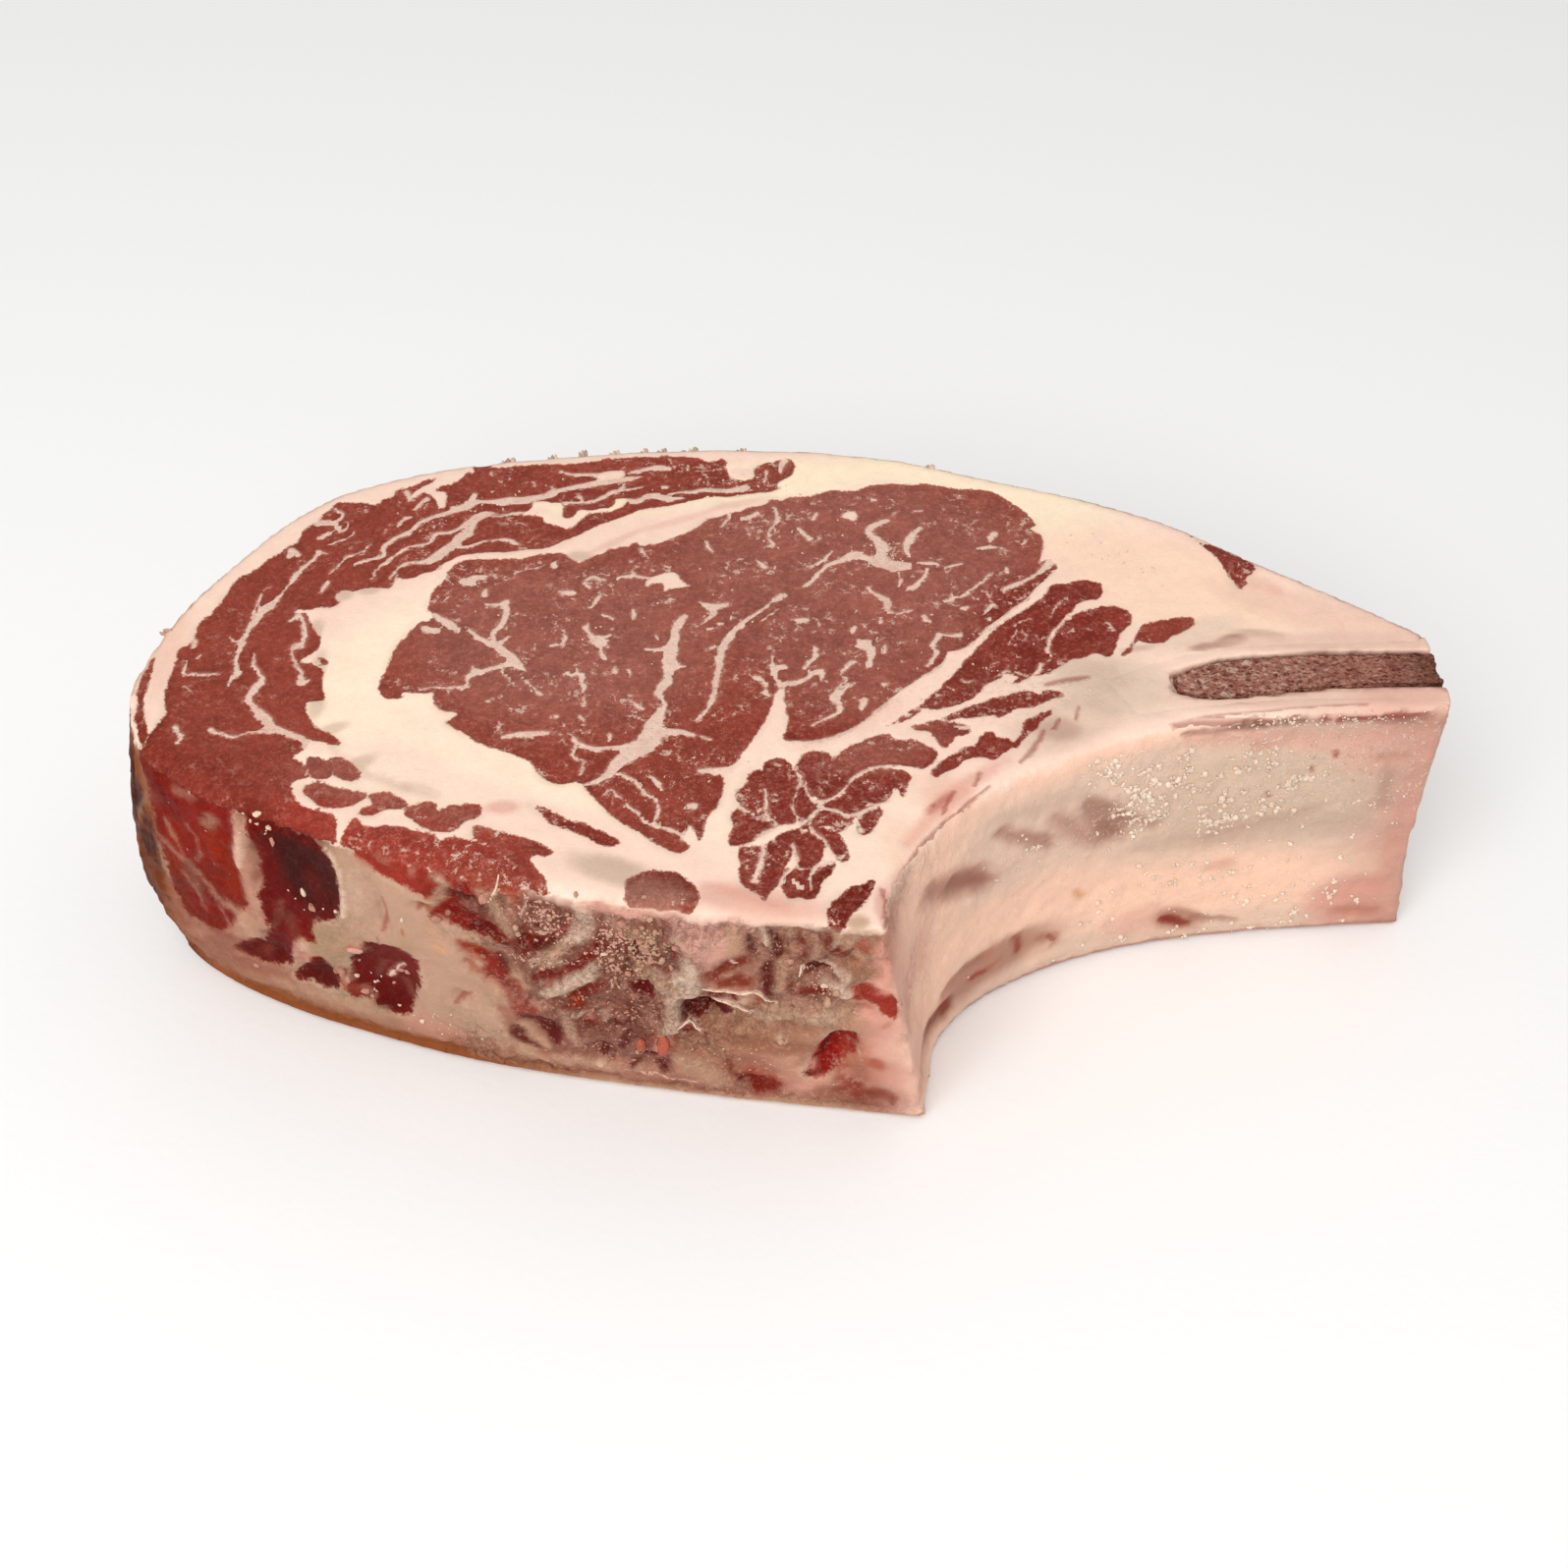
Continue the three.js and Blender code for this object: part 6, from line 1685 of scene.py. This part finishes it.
# The meat and fat, one even skin over the whole steak
meatSettings = {
    "voxel": 1.44,
    "leanDip": 0.22,  # lean stands this much lower than fat on the cut face
    "coreDip": 1.6,
    "boneDip": 0.3,  # how far the skin sinks under the bone's own piece
    "boneFade": 4.0,
    "cutDip": 0.22,
    "cutRough": 0.12,
    "backDip": 0.35,
    "backRough": (0.3, 0.12),
    "lumps": 5.0,  # the size of the larger unevenness, then of the finer
    "dents": 1.8,
    "wallDip": 0.3,
    "wallRough": 0.3,
    "darkDip": 0.7,  # the darkest colours of a wall lie this much deeper
    # how round the cut's front edge is worn: x, then the radius
    "rimRadius": "-116 2.5  -104 5  -80 5  -66 3  -50 3.2  -20 2.2  10 1.6  30 2.6  90 1.6  116 1",
}
meatTree = BVHTree.FromBMesh(solidOf("meat_and_fat"))
coreTree = BVHTree.FromBMesh(solidOf("rib_core"))


# Hollows and bulges of the front walls: "x z radiusX radiusZ turn depth", a negative depth bulges
wallRelief = """
-82 46 8 11 0 1.2
-84 34 4 6 0 .9
-99 40 9 16 0 .5
-91 40 2 16 3 -.5
-69 21 7 10 10 2.0
-83 24 2.4 5 20 -.6
-82 17 5 4 0 1.1
-92 18 6 4 20 1.0
-66.5 40 1 7 4 .8
-72.8 28.9 2.2 1.8 0 -.9
-72 45 3 12 0 -.3
-58 55 12 3 -4 -.7
-52 47 6 5 -30 .8
-46 42 8 2 5 .9
-49 32 4 8 35 .9
-36 36 5 3 40 .8
-34 30 5 2 45 .7
-42 16 4 4 0 1.4
-31 11 3 4 0 1.2
-22 9 3 4 0 1.2
-23 33 2.4 3 0 1.2
-14 27.5 4 3.6 0 2.6
-10 32.8 2.6 1 0 1.4
-7 40 6 4.5 0 1.3
-13 49 5 7 0 -.4
1 50 3 7 0 .8
6 43 3 3 0 1.1
9 20 3.2 6.6 -20 2.4
-5 6 5 3.4 0 1.2
-8 20 14 2 0 .5
-55 21.6 1.4 2.4 30 1.2
-60 45.5 1.4 1.2 0 .9
7 35.5 2 2 0 -.7
-21 17 3 5 0 -.6
-24.3 17 1.6 3 0 -.6
32 39 5 8 -40 .4
56 37 9 4 -35 .4
"""


def reliefAt(places, text):
    depth = np.zeros(len(places))
    for row in rowsOf(text):
        *oval, deep = map(float, row)
        depth += deep * (1 - blendIn(0.4, 1.3, ovalReach(places, *oval)))
    return depth


def wallDepth(places, data, rough, fine):
    green = np.where(data["lean"] > 0, data["leanTint"][:, 1], data["fatTint"][:, 1])
    deep = reliefAt(places[:, [0, 2]], wallRelief) + data["coarse"] * (0.4 + 0.7 * rough + 0.9 * fine)
    deep += meatSettings["wallDip"] + meatSettings["wallRough"] * rough
    deep += meatSettings["darkDip"] * blendIn(0.5, 0.05, green)
    deep *= 0.3 + 0.7 * blendIn(cutHeight, cutHeight - 4.5, places[:, 2])
    return np.maximum(deep, 0.02)


# How deep the meat or the shell lies at each vertex of the cut face and of the front walls
def skinDepth(places, data, zones, rough, fine):
    cut = meatSettings["cutDip"] + meatSettings["cutRough"] * rough
    return zones["top"] * cut + zones["front"] * wallDepth(places, data, rough, fine)


# The cut's front edge is worn round: how far each vertex moves for it, in mm
def roundedRim(places, ways, zones):
    near = np.flatnonzero((zones["front"] | zones["top"]) & (np.abs(zones["rim"]) < 7))
    ring = np.flatnonzero(zones["front"] & (zones["rim"] > 1) & (zones["rim"] < 3.5))
    tree = treeOf(places[ring], ring)
    worn = 0.35 * roughnessAt(places[near], 6, height=70) + 0.25 * roughnessAt(places[near], 2, height=30)
    radii = along(meatSettings["rimRadius"], places[near, 0]) * (1 + worn)
    wallWays = ways * (1, 1, 0)
    moves = np.zeros((len(places), 3))
    for i, radius in zip(near, radii):
        _, index, far = tree.find((*places[i, :2], 0))
        far = far if zones["top"][i] else 0
        across, down = max(radius - far, 0), max(radius - (cutHeight - places[i, 2]), 0)
        reach = math.hypot(across, down)
        if reach > radius and far < radius:
            # outside the rounding: pull the point back onto it
            way = wallWays[index] / np.linalg.norm(wallWays[index])
            moves[i] = (way * across + (0, 0, down)) * (1 - radius / reach)
    return moves


# The faces that are seen at a slant or from above get smaller squares
def seenFaces(way, at):
    inner = way.x > 0.4 and at.y < -16 and at.x < 60
    return way.z > 0.4 or (at.z > 1 and (way.y < -0.3 or inner))


def makeMeat():
    shape = remeshed(solidOf("meat_and_fat", "rib_shell", "rib_core"), "steakMeat", meatSettings["voxel"])
    refine(shape, seenFaces)
    places, ways = vertexArrays(shape)
    data, zones = paintMeat(places, ways)
    rough = roughnessAt(places, meatSettings["lumps"])
    fine = roughnessAt(places, meatSettings["dents"], 2)
    large, small = meatSettings["backRough"]
    sink = skinDepth(places, data, zones, rough, fine)
    sink += zones["back"] * (meatSettings["backDip"] + large * rough + small * fine)
    sink += zones["top"] * meatSettings["leanDip"] * blendIn(-0.4, 0.6, data["lean"])
    sink += meatSettings["boneDip"] * blendIn(0.1, meatSettings["boneFade"], farFrom(meatTree, places))
    sink += meatSettings["coreDip"] * blendIn(1.6, 0.6, farFrom(coreTree, places))
    sink *= blendIn(0.0, 1.5, places[:, 2])  # the foot stays flat
    moveIn(shape, ways * sink[:, None] + roundedRim(places, ways, zones))
    piece = pieceFrom(shape, "steakMeat")
    storeAttributes(piece.data, data)
    finishPiece(piece, meatFinish("raw meat and fat"), "meat", "meat_and_fat")
    return piece


# The bone's hard shell carries on the fat's pattern, and rises out of it away from its border
shellSettings = {"voxel": 0.9, "relax": 0.3}


def makeShell():
    shape = remeshed(solidOf("rib_shell"), "ribShell", shellSettings["voxel"])
    relax(shape, shellSettings["relax"])
    places, ways = vertexArrays(shape)
    data, zones = paintMeat(places, ways)
    rough = roughnessAt(places, meatSettings["lumps"])
    fine = roughnessAt(places, meatSettings["dents"], 2)
    sink = skinDepth(places, data, zones, rough, fine)
    sink += meatSettings["boneDip"] * (1 - blendIn(0.1, meatSettings["boneFade"], farFrom(meatTree, places)))
    moveIn(shape, ways * sink[:, None])
    piece = pieceFrom(shape, "ribShell")
    storeAttributes(piece.data, data)
    finishPiece(piece, meatFinish("rib bone under its membrane"), "bone", "rib_shell")


# The spongy core, dark and pitted where the saw opened it
coreSettings = {
    "voxel": 0.55,
    "cell": 1.3,
    "pit": 0.5,
    "dip": 0.25,
    "rough": 0.2,
    "hidden": 41,  # below this height the core stays as it is, inside the shell
}


def coreFinish():
    finish = Finish("spongy rib core")
    place = finish.millimetres()
    across = finish.parts(place)[0]
    streaky = finish.scaled(place, (0.6, 1.0, 1.0))
    pits = finish.cells(streaky, 1.3).between(0.1, 0.5)
    grain = finish.noise(streaky, 1.8, 3, 0.65)
    end = across.between(100, 116)
    colour = finish.mixed("marrowDark", "marrow", (pits * 0.5 + grain * 0.45).clamped())
    paler = finish.mixed(colour, "grey", grain.between(0.35, 0.9) * 0.6)
    darker = finish.mixed(paler, "olive", (end * 0.6 + grain.between(0.3, -0.9) * 0.3).clamped())
    colour = finish.mixed(darker, "deep", finish.noise(place, 0.2).between(0.2, 0.8) * 0.35)
    frosty = finish.noise(place, 0.75, 4, 0.7).between(0.1, 0.5) * across.between(104, 80)
    colour = finish.mixed(colour, "gristle", frosty * 0.5)
    tip = (across + grain * 2 + finish.noise(place, 0.3) * 3).between(65, 57)
    colour = finish.mixed(colour, "film", tip * 0.75)
    links = {"Base Color": colour, "Roughness": (0.6 + grain * 0.15).clamped(), "Specular IOR Level": 0.2}
    return finish.surface(links, pits * 0.7 + grain * 0.3, 0.35 * mm)


def makeCore():
    shape = remeshed(solidOf("rib_core"), "ribCore", coreSettings["voxel"])
    places, ways = vertexArrays(shape)
    sink = coreSettings["dip"] + coreSettings["rough"] * roughnessAt(places, 3.0)
    for i, place in enumerate(places):
        cell = noise.voronoi(Vector(place) / coreSettings["cell"])[0]
        sink[i] += coreSettings["pit"] * (1 - min(cell[1] - cell[0], 0.5) * 2)
    sink = np.maximum(sink, 0) * (places[:, 2] > coreSettings["hidden"])
    moveIn(shape, ways * sink[:, None])
    finishPiece(pieceFrom(shape, "ribCore"), coreFinish(), "marrow", "rib_core")


meatPiece = makeMeat()
makeShell()
makeCore()
meatSkin = BVHTree.FromObject(meatPiece, bpy.context.evaluated_depsgraph_get())


# Small pieces that lie on the skin are lumps: squashed, turned and dented balls with a colour each
lumpSettings = {"squash": (0.7, 1.15), "dent": 0.24, "dentsPerMm": 1.7, "lit": (0.88, 1.06)}


class Lumps:
    def __init__(self, name):
        self.name = name
        self.shape = bmesh.new()
        self.tint = self.shape.verts.layers.float_color.new("tint")

    # a lump that isn't given a turn gets one at random
    def add(self, place, size, colour, fineness=1, turn=None):
        squash = [s * random.uniform(*lumpSettings["squash"]) / 2 * mm for s in size]
        axis = (random.random(), random.random(), random.random() + 0.1)
        spin = turn or Matrix.Rotation(random.uniform(0, math.tau), 4, axis)
        matrix = Matrix.Translation(place) @ spin @ Matrix.Diagonal(squash).to_4x4()
        made = bmesh.ops.create_icosphere(self.shape, subdivisions=fineness, radius=1, matrix=matrix)
        lit = linear(palette[colour], looseLight) * random.uniform(*lumpSettings["lit"])
        lit = np.clip(lit, 0, brightest)
        deep = min(size) * lumpSettings["dent"] * mm
        for vert in made["verts"]:
            vert.co += noise.noise_vector(vert.co / mm * lumpSettings["dentsPerMm"]) * deep
            for way in range(3):
                vert.co[way] = min(max(vert.co[way], cadBox[0][way]), cadBox[1][way])
            vert[self.tint] = (*lit, 1)

    def finish(self, slot):
        finish = Finish(self.name)
        grain = finish.noise(finish.millimetres(), 1.4, 2, 0.6)
        links = {
            "Base Color": finish.multiplied(finish.attribute("tint", "Color"), 1 + grain * 0.08),
            "Roughness": (0.45 + grain * 0.1).clamped(),
            "Specular IOR Level": 0.3,
            "Subsurface Weight": 0.2,
            "Subsurface Radius": (1.0, 0.6, 0.45),
            "Subsurface Scale": 0.8 * mm,
        }
        finishPiece(pieceFrom(self.shape, self.name), finish.surface(links, grain, 0.1 * mm), slot)


def wallPoint(x, z):
    return meatSkin.ray_cast(Vector((x, -90, z)) * mm, Vector((0, 1, 0)))


def topPoint(x, y):
    return meatSkin.ray_cast(Vector((x, y, 90)) * mm, Vector((0, 0, -1)))


def turnTo(way, axis, up):
    return way.to_track_quat(axis, up).to_matrix().to_4x4()


# Beads and lumps of fat on the front wall: "x z width height colour"
wallBeads = """
-57 43.2 2.4 1.6 rose
-54.8 45 1.2 1.5 veil
-48 52 2.4 2.2 rose
-43.5 45.5 1.3 1.4 tan
-43.2 43.2 1.4 1.4 tan
-37.5 49.5 1.2 1.1 tan
-39 45.7 1.5 1.1 tan
-38.7 53.5 .94 .94 tan
-36.5 53 .85 .85 veil
-34.5 51.5 .85 1 tan
-32.8 56 1 .94 tan
-50 34.7 1.1 1 veil
-41.5 36 1 1.4 tan
-40 34.2 1 1.4 tan
-38.5 36.8 .94 1 pale
-36.6 38.2 1 .94 tan
-21.2 53.3 1.2 1.4 tan
-28 47.2 1.1 1.5 tan
-27.8 45.3 .77 .85 veil
-23.5 49.5 1.6 1.4 rose
-22 44.5 1.4 1.9 rose
-24.8 44 1 1.3 tan
-19.8 42 1.3 1.9 tan
-29.2 42.2 1.4 1.3 pale
-28 40.8 1.3 1.1 tan
-29.8 40 .94 .85 tan
-27 38.8 1.2 1 rose
-25 41.5 1.1 1 veil
-21.5 41 1.3 1.2 rose
-23 47 1.3 1.3 rose
-21 47.5 1.1 1.4 tan
-19.7 49.5 1.3 1.4 veil
-22.5 51 1.1 1 rose
-25.8 51.5 1.4 1.3 rose
-26 49 1.2 1.3 rose
-17.3 46.8 1.4 1.7 rose
-18.4 38.8 1 1.6 tan
-25.5 37.5 1.3 1.2 rose
-27.7 35.5 1.2 1.1 mauve
-24.3 17.3 1.7 3.4 brick
-20.4 17.5 2.7 5.1 brick
-25.2 13.2 .94 1 tan
-49.3 13.5 .85 1.2 tan
-13.9 22.3 .94 1 veil
-.5 22.6 1.4 1.2 tan
9.5 42.8 1.2 1.3 tan
7.2 35.4 1.9 2.1 tan
6.5 39.8 1.3 1.1 pale
8.5 38.5 1.4 1.5 tan
1 44.5 1.2 1.7 rose
.3 49 .94 1.5 veil
2.8 47.3 .94 1.1 veil
2.5 32 .68 1.4 tan
4.5 33.5 1.2 1 tan
1.3 33 .85 1 veil
-86.5 54.8 1.8 1 pale
-84.8 52.3 1.4 .9 pale
-84.7 49.3 1.1 2.4 rose
-89 53.8 .8 .6 pale
-81 38 1.3 2 pale
-79.5 36 2.6 1.6 rose
-72.9 29 3.4 1.9 salmon
-64.3 24.5 1.4 1.2 rose
-65.6 23.6 1.1 .9 rose
-76.5 20.5 2 2.2 rose
-76 18 1.1 1.8 rose
-78.2 18.6 .9 1.8 rose
-74.2 19 1 1.1 pale
-73.2 15.3 1.7 1.2 rose
-72 14.3 .9 1 rose
-67.8 18 .8 .9 rose
-73.2 23.4 .9 .8 rose
-94 12.7 1.8 1.1 rose
-63.4 10.8 1.2 1.6 pale
-62.9 41.4 1 1 frost
-75.1 37.5 .8 .9 pale
"""
beadSettings = {"flatness": 0.8, "lift": 0.12, "fineness": 2}


def makeBeads():
    beads = Lumps("fatBeads")
    for *numbers, colour in rowsOf(wallBeads):
        x, z, width, height = map(float, numbers)
        place, way, _, _ = wallPoint(x, z)
        flat = min(width, height) * beadSettings["flatness"]
        spot = place + way * flat * beadSettings["lift"] * mm
        beads.add(spot, (width, flat, height), colour, beadSettings["fineness"], turnTo(way, "-Y", "Z"))
    beads.finish("meat")


makeBeads()


# Ragged tags of fat that stand out along the far edge: "x y width" of each tip
fatTags = """
-102.8 22.5 1.2
-110.5 9 1
-53.5 59.2 1.8
-45 60.5 1.2
-39.2 62 1
-33 61.5 1.4
-27.3 62.5 1
-23.8 62.5 1.2
-18.5 62.5 2.2
-8.3 62.5 1.2
27.7 57 1.6
"""
tagSettings = {
    "shifts": (-0.5, 0.1, 0.6),  # three lumps side by side make one tag
    "height": 55.6,
    "length": 3.0,
    "narrow": 0.7,
    "thick": 1.1,
    "colours": ("grey", "tan", "rimFat"),
}


def makeTags():
    tags = Lumps("fatTags")
    thick = tagSettings["thick"]
    for row in rowsOf(fatTags):
        x, y, width = map(float, row)
        size = (tagSettings["length"], width * tagSettings["narrow"], thick)
        for shift in tagSettings["shifts"]:
            tip = Vector((x + shift * width, y - abs(shift) * 0.6, tagSettings["height"] + 0.6 * shift)) * mm
            _, way, _, _ = meatSkin.find_nearest(Vector((tip.x, tip.y, 50 * mm)))
            way = Vector((way.x, way.y, 0)).normalized()
            colour = random.choice(tagSettings["colours"])
            tags.add(tip - way * thick * mm, size, colour, 2, turnTo(way, "X", "Z"))
    tags.finish("meat")


makeTags()


# Loose strings of sinew on the front wall: "x,z x,z ..."
sinewLines = """
-13.6,34.5 -10.5,34.9 -7.4,34.4 -4.8,35.2 -3,34.2 -1.2,33.6
-13.2,30.9 -10.6,31.2 -8.6,30.9 -7.2,29.4 -5.4,28.6
-17.9,22.8 -16,24.1 -14.9,23.2 -13.8,22.3
-45.4,56 -45.8,54.3 -46.9,52.6
2.8,43.6 2.7,42 2.4,40.8
"""
sinewSettings = {"radius": 0.22, "lift": 0.1, "sway": 0.15, "swell": (0.35, 0.9)}


def sinewFinish():
    finish = Finish("sinew")
    grain = finish.noise(finish.millimetres(), 1.2, 2, 0.6)
    links = {
        "Base Color": finish.mixed("pale", "tan", grain),
        "Roughness": 0.3 + grain * 0.2,
        "Subsurface Weight": 0.2,
        "Subsurface Scale": 1.0 * mm,
    }
    return finish.surface(links, grain, 0.1 * mm)


def makeSinews():
    data = bpy.data.curves.new("sinews", "CURVE")
    data.dimensions = "3D"
    data.bevel_depth = sinewSettings["radius"] * mm
    data.bevel_resolution = 2
    data.use_fill_caps = True
    thin, swell = sinewSettings["swell"]
    for row in rowsOf(sinewLines):
        spline = data.splines.new("POLY")
        stops = shapeOf(row, False, 0.25)[::3]
        spline.points.add(len(stops) - 1)
        for i, (x, z) in enumerate(stops):
            place, way, _, _ = wallPoint(x, z)
            lift = sinewSettings["lift"] + sinewSettings["sway"] * roughness((x, z, 0), 1.5)
            spline.points[i].co = (*(place + way * lift * mm), 1)
            full = math.sin(math.pi * (i + 0.5) / len(stops))
            spline.points[i].radius = thin + swell * full * (0.8 + 0.5 * roughness((x, z, 5), 2))
    strings = linked("sinewsCurve", data)
    mesh = bpy.data.meshes.new_from_object(strings.evaluated_get(bpy.context.evaluated_depsgraph_get()))
    bpy.data.objects.remove(strings)
    mesh.materials.clear()
    finishPiece(linked("sinews", mesh), sinewFinish(), "meat")


makeSinews()


# Bone dust, frost and small crumbs: "x z radiusX radiusZ turn count smallest largest colour"
wallCrumbs = """
56 50 5 4 -30 55 .42 1.17 snow
62 42 5 6 -40 58 .51 1.56 snow
64 35 4 4 0 45 .34 1.09 snow
70 44 4 8 0 45 .42 1.33 frost
77 36 6 8 0 50 .42 1.56 frost
77 31 4 2.5 0 28 .51 1.17 snow
85 36 5 6 0 50 .42 1.48 frost
84 48 8 5 0 45 .42 1.25 frost
92 42 6 8 0 40 .42 1.33 frost
100 46 8 8 0 50 .26 .7 pink
104 34 8 8 0 30 .3 .95 frost
80 20 20 10 0 75 .34 1.25 snow
95 10 16 7 0 62 .34 1.35 snow
66 12 20 8 0 42 .3 1.1 snow
84 3 20 1.6 0 44 .3 1.1 snow
84 55 6 2 0 50 .34 .78 frost
97 54 10 2 0 62 .34 .7 frost
40 36 9 6 -30 25 .26 .7 snow
43 37.5 2 .8 -20 5 .85 1.25 snow
62 32 1.6 1 0 8 .77 1.17 snow
65 35.5 2 .8 0 9 .68 1.09 snow
45 26 16 10 0 30 .21 .55 snow
-38 49 5 6 0 135 .34 .86 strand
-28 46 4 8 0 105 .34 .86 strand
-22 45 4 9 0 105 .42 1.08 tan
-28 38 4 5 0 75 .34 .86 tan
-40 37 6 3 0 66 .34 .79 strand
-33 24 10 6 0 75 .34 .72 rose
-23 26 4 8 0 60 .34 .72 rose
-10 14 14 8 0 36 .26 .5 pale
6 40 4 6 0 66 .26 .72 strand
-2 46 6 8 0 45 .26 .58 rose
-30 12 12 6 0 75 .34 .79 rose
-71 17 4 3 0 7 .4 .8 frost
-82 36 3 3 0 4 .4 .8 pale
-86 52 3 4 0 5 .4 .8 frost
-100 40 8 14 0 8 .3 .48 rose
-60 12 10 6 0 24 .3 .8 pale
"""
topCrumbs = """
-59 21 12 5 0 8 .3 .7 frost
20 28 6 4 0 30 .3 .8 frost
5 35 14 12 0 30 .25 .7 pale
-30 10 30 20 0 60 .2 .6 pale
20 8 20 14 0 50 .2 .6 pale
-60 42 20 8 30 50 .2 .7 pale
-10 49 16 4 8 40 .3 .7 frost
60 30 14 6 -25 16 .3 .7 frost
38 -1 8 4 30 10 .3 .7 frost
-20 -30 20 10 0 50 .2 .6 pale
"""
crumbSettings = {
    "whole": (1, 0.85, 0.65),  # a crumb's length, width and height as shares of its size
    "part": (1, 0.85, 0.75),
    "partSize": (0.4, 0.75),
    "partsPerMm": 2.5,
    "spread": 0.6,
    "lift": 0.1,
    "mostlySmall": 1.8,
}


def scatter(crumbs, text, point):
    spread = crumbSettings["spread"]
    for *numbers, colour in rowsOf(text):
        x, y, rx, ry, turn, count, small, large = map(float, numbers)
        c, s = math.cos(math.radians(turn)), math.sin(math.radians(turn))
        for _ in range(int(count)):
            dx, dy = random.gauss(0, 0.5) * rx, random.gauss(0, 0.5) * ry
            place, way, _, _ = point(x + dx * c - dy * s, y + dx * s + dy * c)
            size = small + (large - small) * random.random() ** crumbSettings["mostlySmall"]
            if place is None:
                continue
            spin = turnTo(way, "Z", "Y") @ Matrix.Rotation(random.uniform(0, math.tau), 4, "Z")
            whole = [size * share for share in crumbSettings["whole"]]
            spot = place + way * size * crumbSettings["lift"] * mm
            crumbs.add(spot, whole, colour, 1 + (size > 1), spin)
            for _ in range(int(size * crumbSettings["partsPerMm"])):
                side = Vector((random.uniform(-spread, spread), random.uniform(-spread, spread), 0.1))
                part = size * random.uniform(*crumbSettings["partSize"])
                sizes = [part * share for share in crumbSettings["part"]]
                crumbs.add(place + spin @ side * size * mm, sizes, colour, 1, spin)


def makeCrumbs():
    crumbs = Lumps("boneDust")
    scatter(crumbs, wallCrumbs, wallPoint)
    scatter(crumbs, topCrumbs, topPoint)
    crumbs.finish("bone")


makeCrumbs()


# The floor, the light and the camera
floorSettings = {"colour": (0.88, 0.88, 0.87, 1), "roughness": 0.9, "half": 3.0}  # half its width, in metres


def makeStage():
    shape = bmesh.new()
    bmesh.ops.create_grid(shape, x_segments=1, y_segments=1, size=floorSettings["half"])
    floor = pieceFrom(shape, "floor")
    finish = Finish("pale floor")
    grain = finish.noise(finish.millimetres(), 0.5, 2)
    links = {"Base Color": floorSettings["colour"], "Roughness": floorSettings["roughness"]}
    floor.data.materials.append(finish.surface(links, grain, 0.01 * mm))


# Places and sizes of the light are in metres
lightSettings = {
    "sky": 0.62,
    "keyPlace": (-0.3, -0.85, 1.0),
    "keySize": 1.0,
    "keyPower": 14.0,
}


def makeLight():
    world = bpy.data.worlds.new("soft studio")
    bpy.context.scene.world = world
    world.use_nodes = True
    sky = world.node_tree.nodes["Background"].inputs
    sky["Color"].default_value = (1, 1, 1, 1)
    sky["Strength"].default_value = lightSettings["sky"]
    key = bpy.data.lights.new("key", "AREA")
    key.energy = lightSettings["keyPower"]
    key.size = lightSettings["keySize"]
    lamp = linked("key", key)
    lamp.location = lightSettings["keyPlace"]
    lamp.rotation_euler = (-Vector(lightSettings["keyPlace"])).to_track_quat("-Z", "Y").to_euler()


cameraSettings = {
    "aim": (0, -4, 30),
    "elevation": 45,
    "focalPixels": 2300,  # the photo's focal length and width, in its own pixels
    "photoWidth": 1596,
    "pixelsPerMm": 5.6,  # at the aim
    "sensor": 36,
}


def makeCamera():
    data = bpy.data.cameras.new("camera")
    data.sensor_width = cameraSettings["sensor"]
    data.lens = cameraSettings["focalPixels"] / cameraSettings["photoWidth"] * cameraSettings["sensor"]
    camera = linked("camera", data)
    rise = math.radians(cameraSettings["elevation"])
    distance = cameraSettings["focalPixels"] / cameraSettings["pixelsPerMm"]
    away = Vector((0, -math.cos(rise), math.sin(rise))) * distance
    camera.location = (Vector(cameraSettings["aim"]) + away) * mm
    camera.rotation_euler = (math.pi / 2 - rise, 0, 0)
    bpy.context.scene.camera = camera


makeStage()
makeLight()
makeCamera()
bpy.context.scene.view_settings.view_transform = "Standard"
print("scene made")
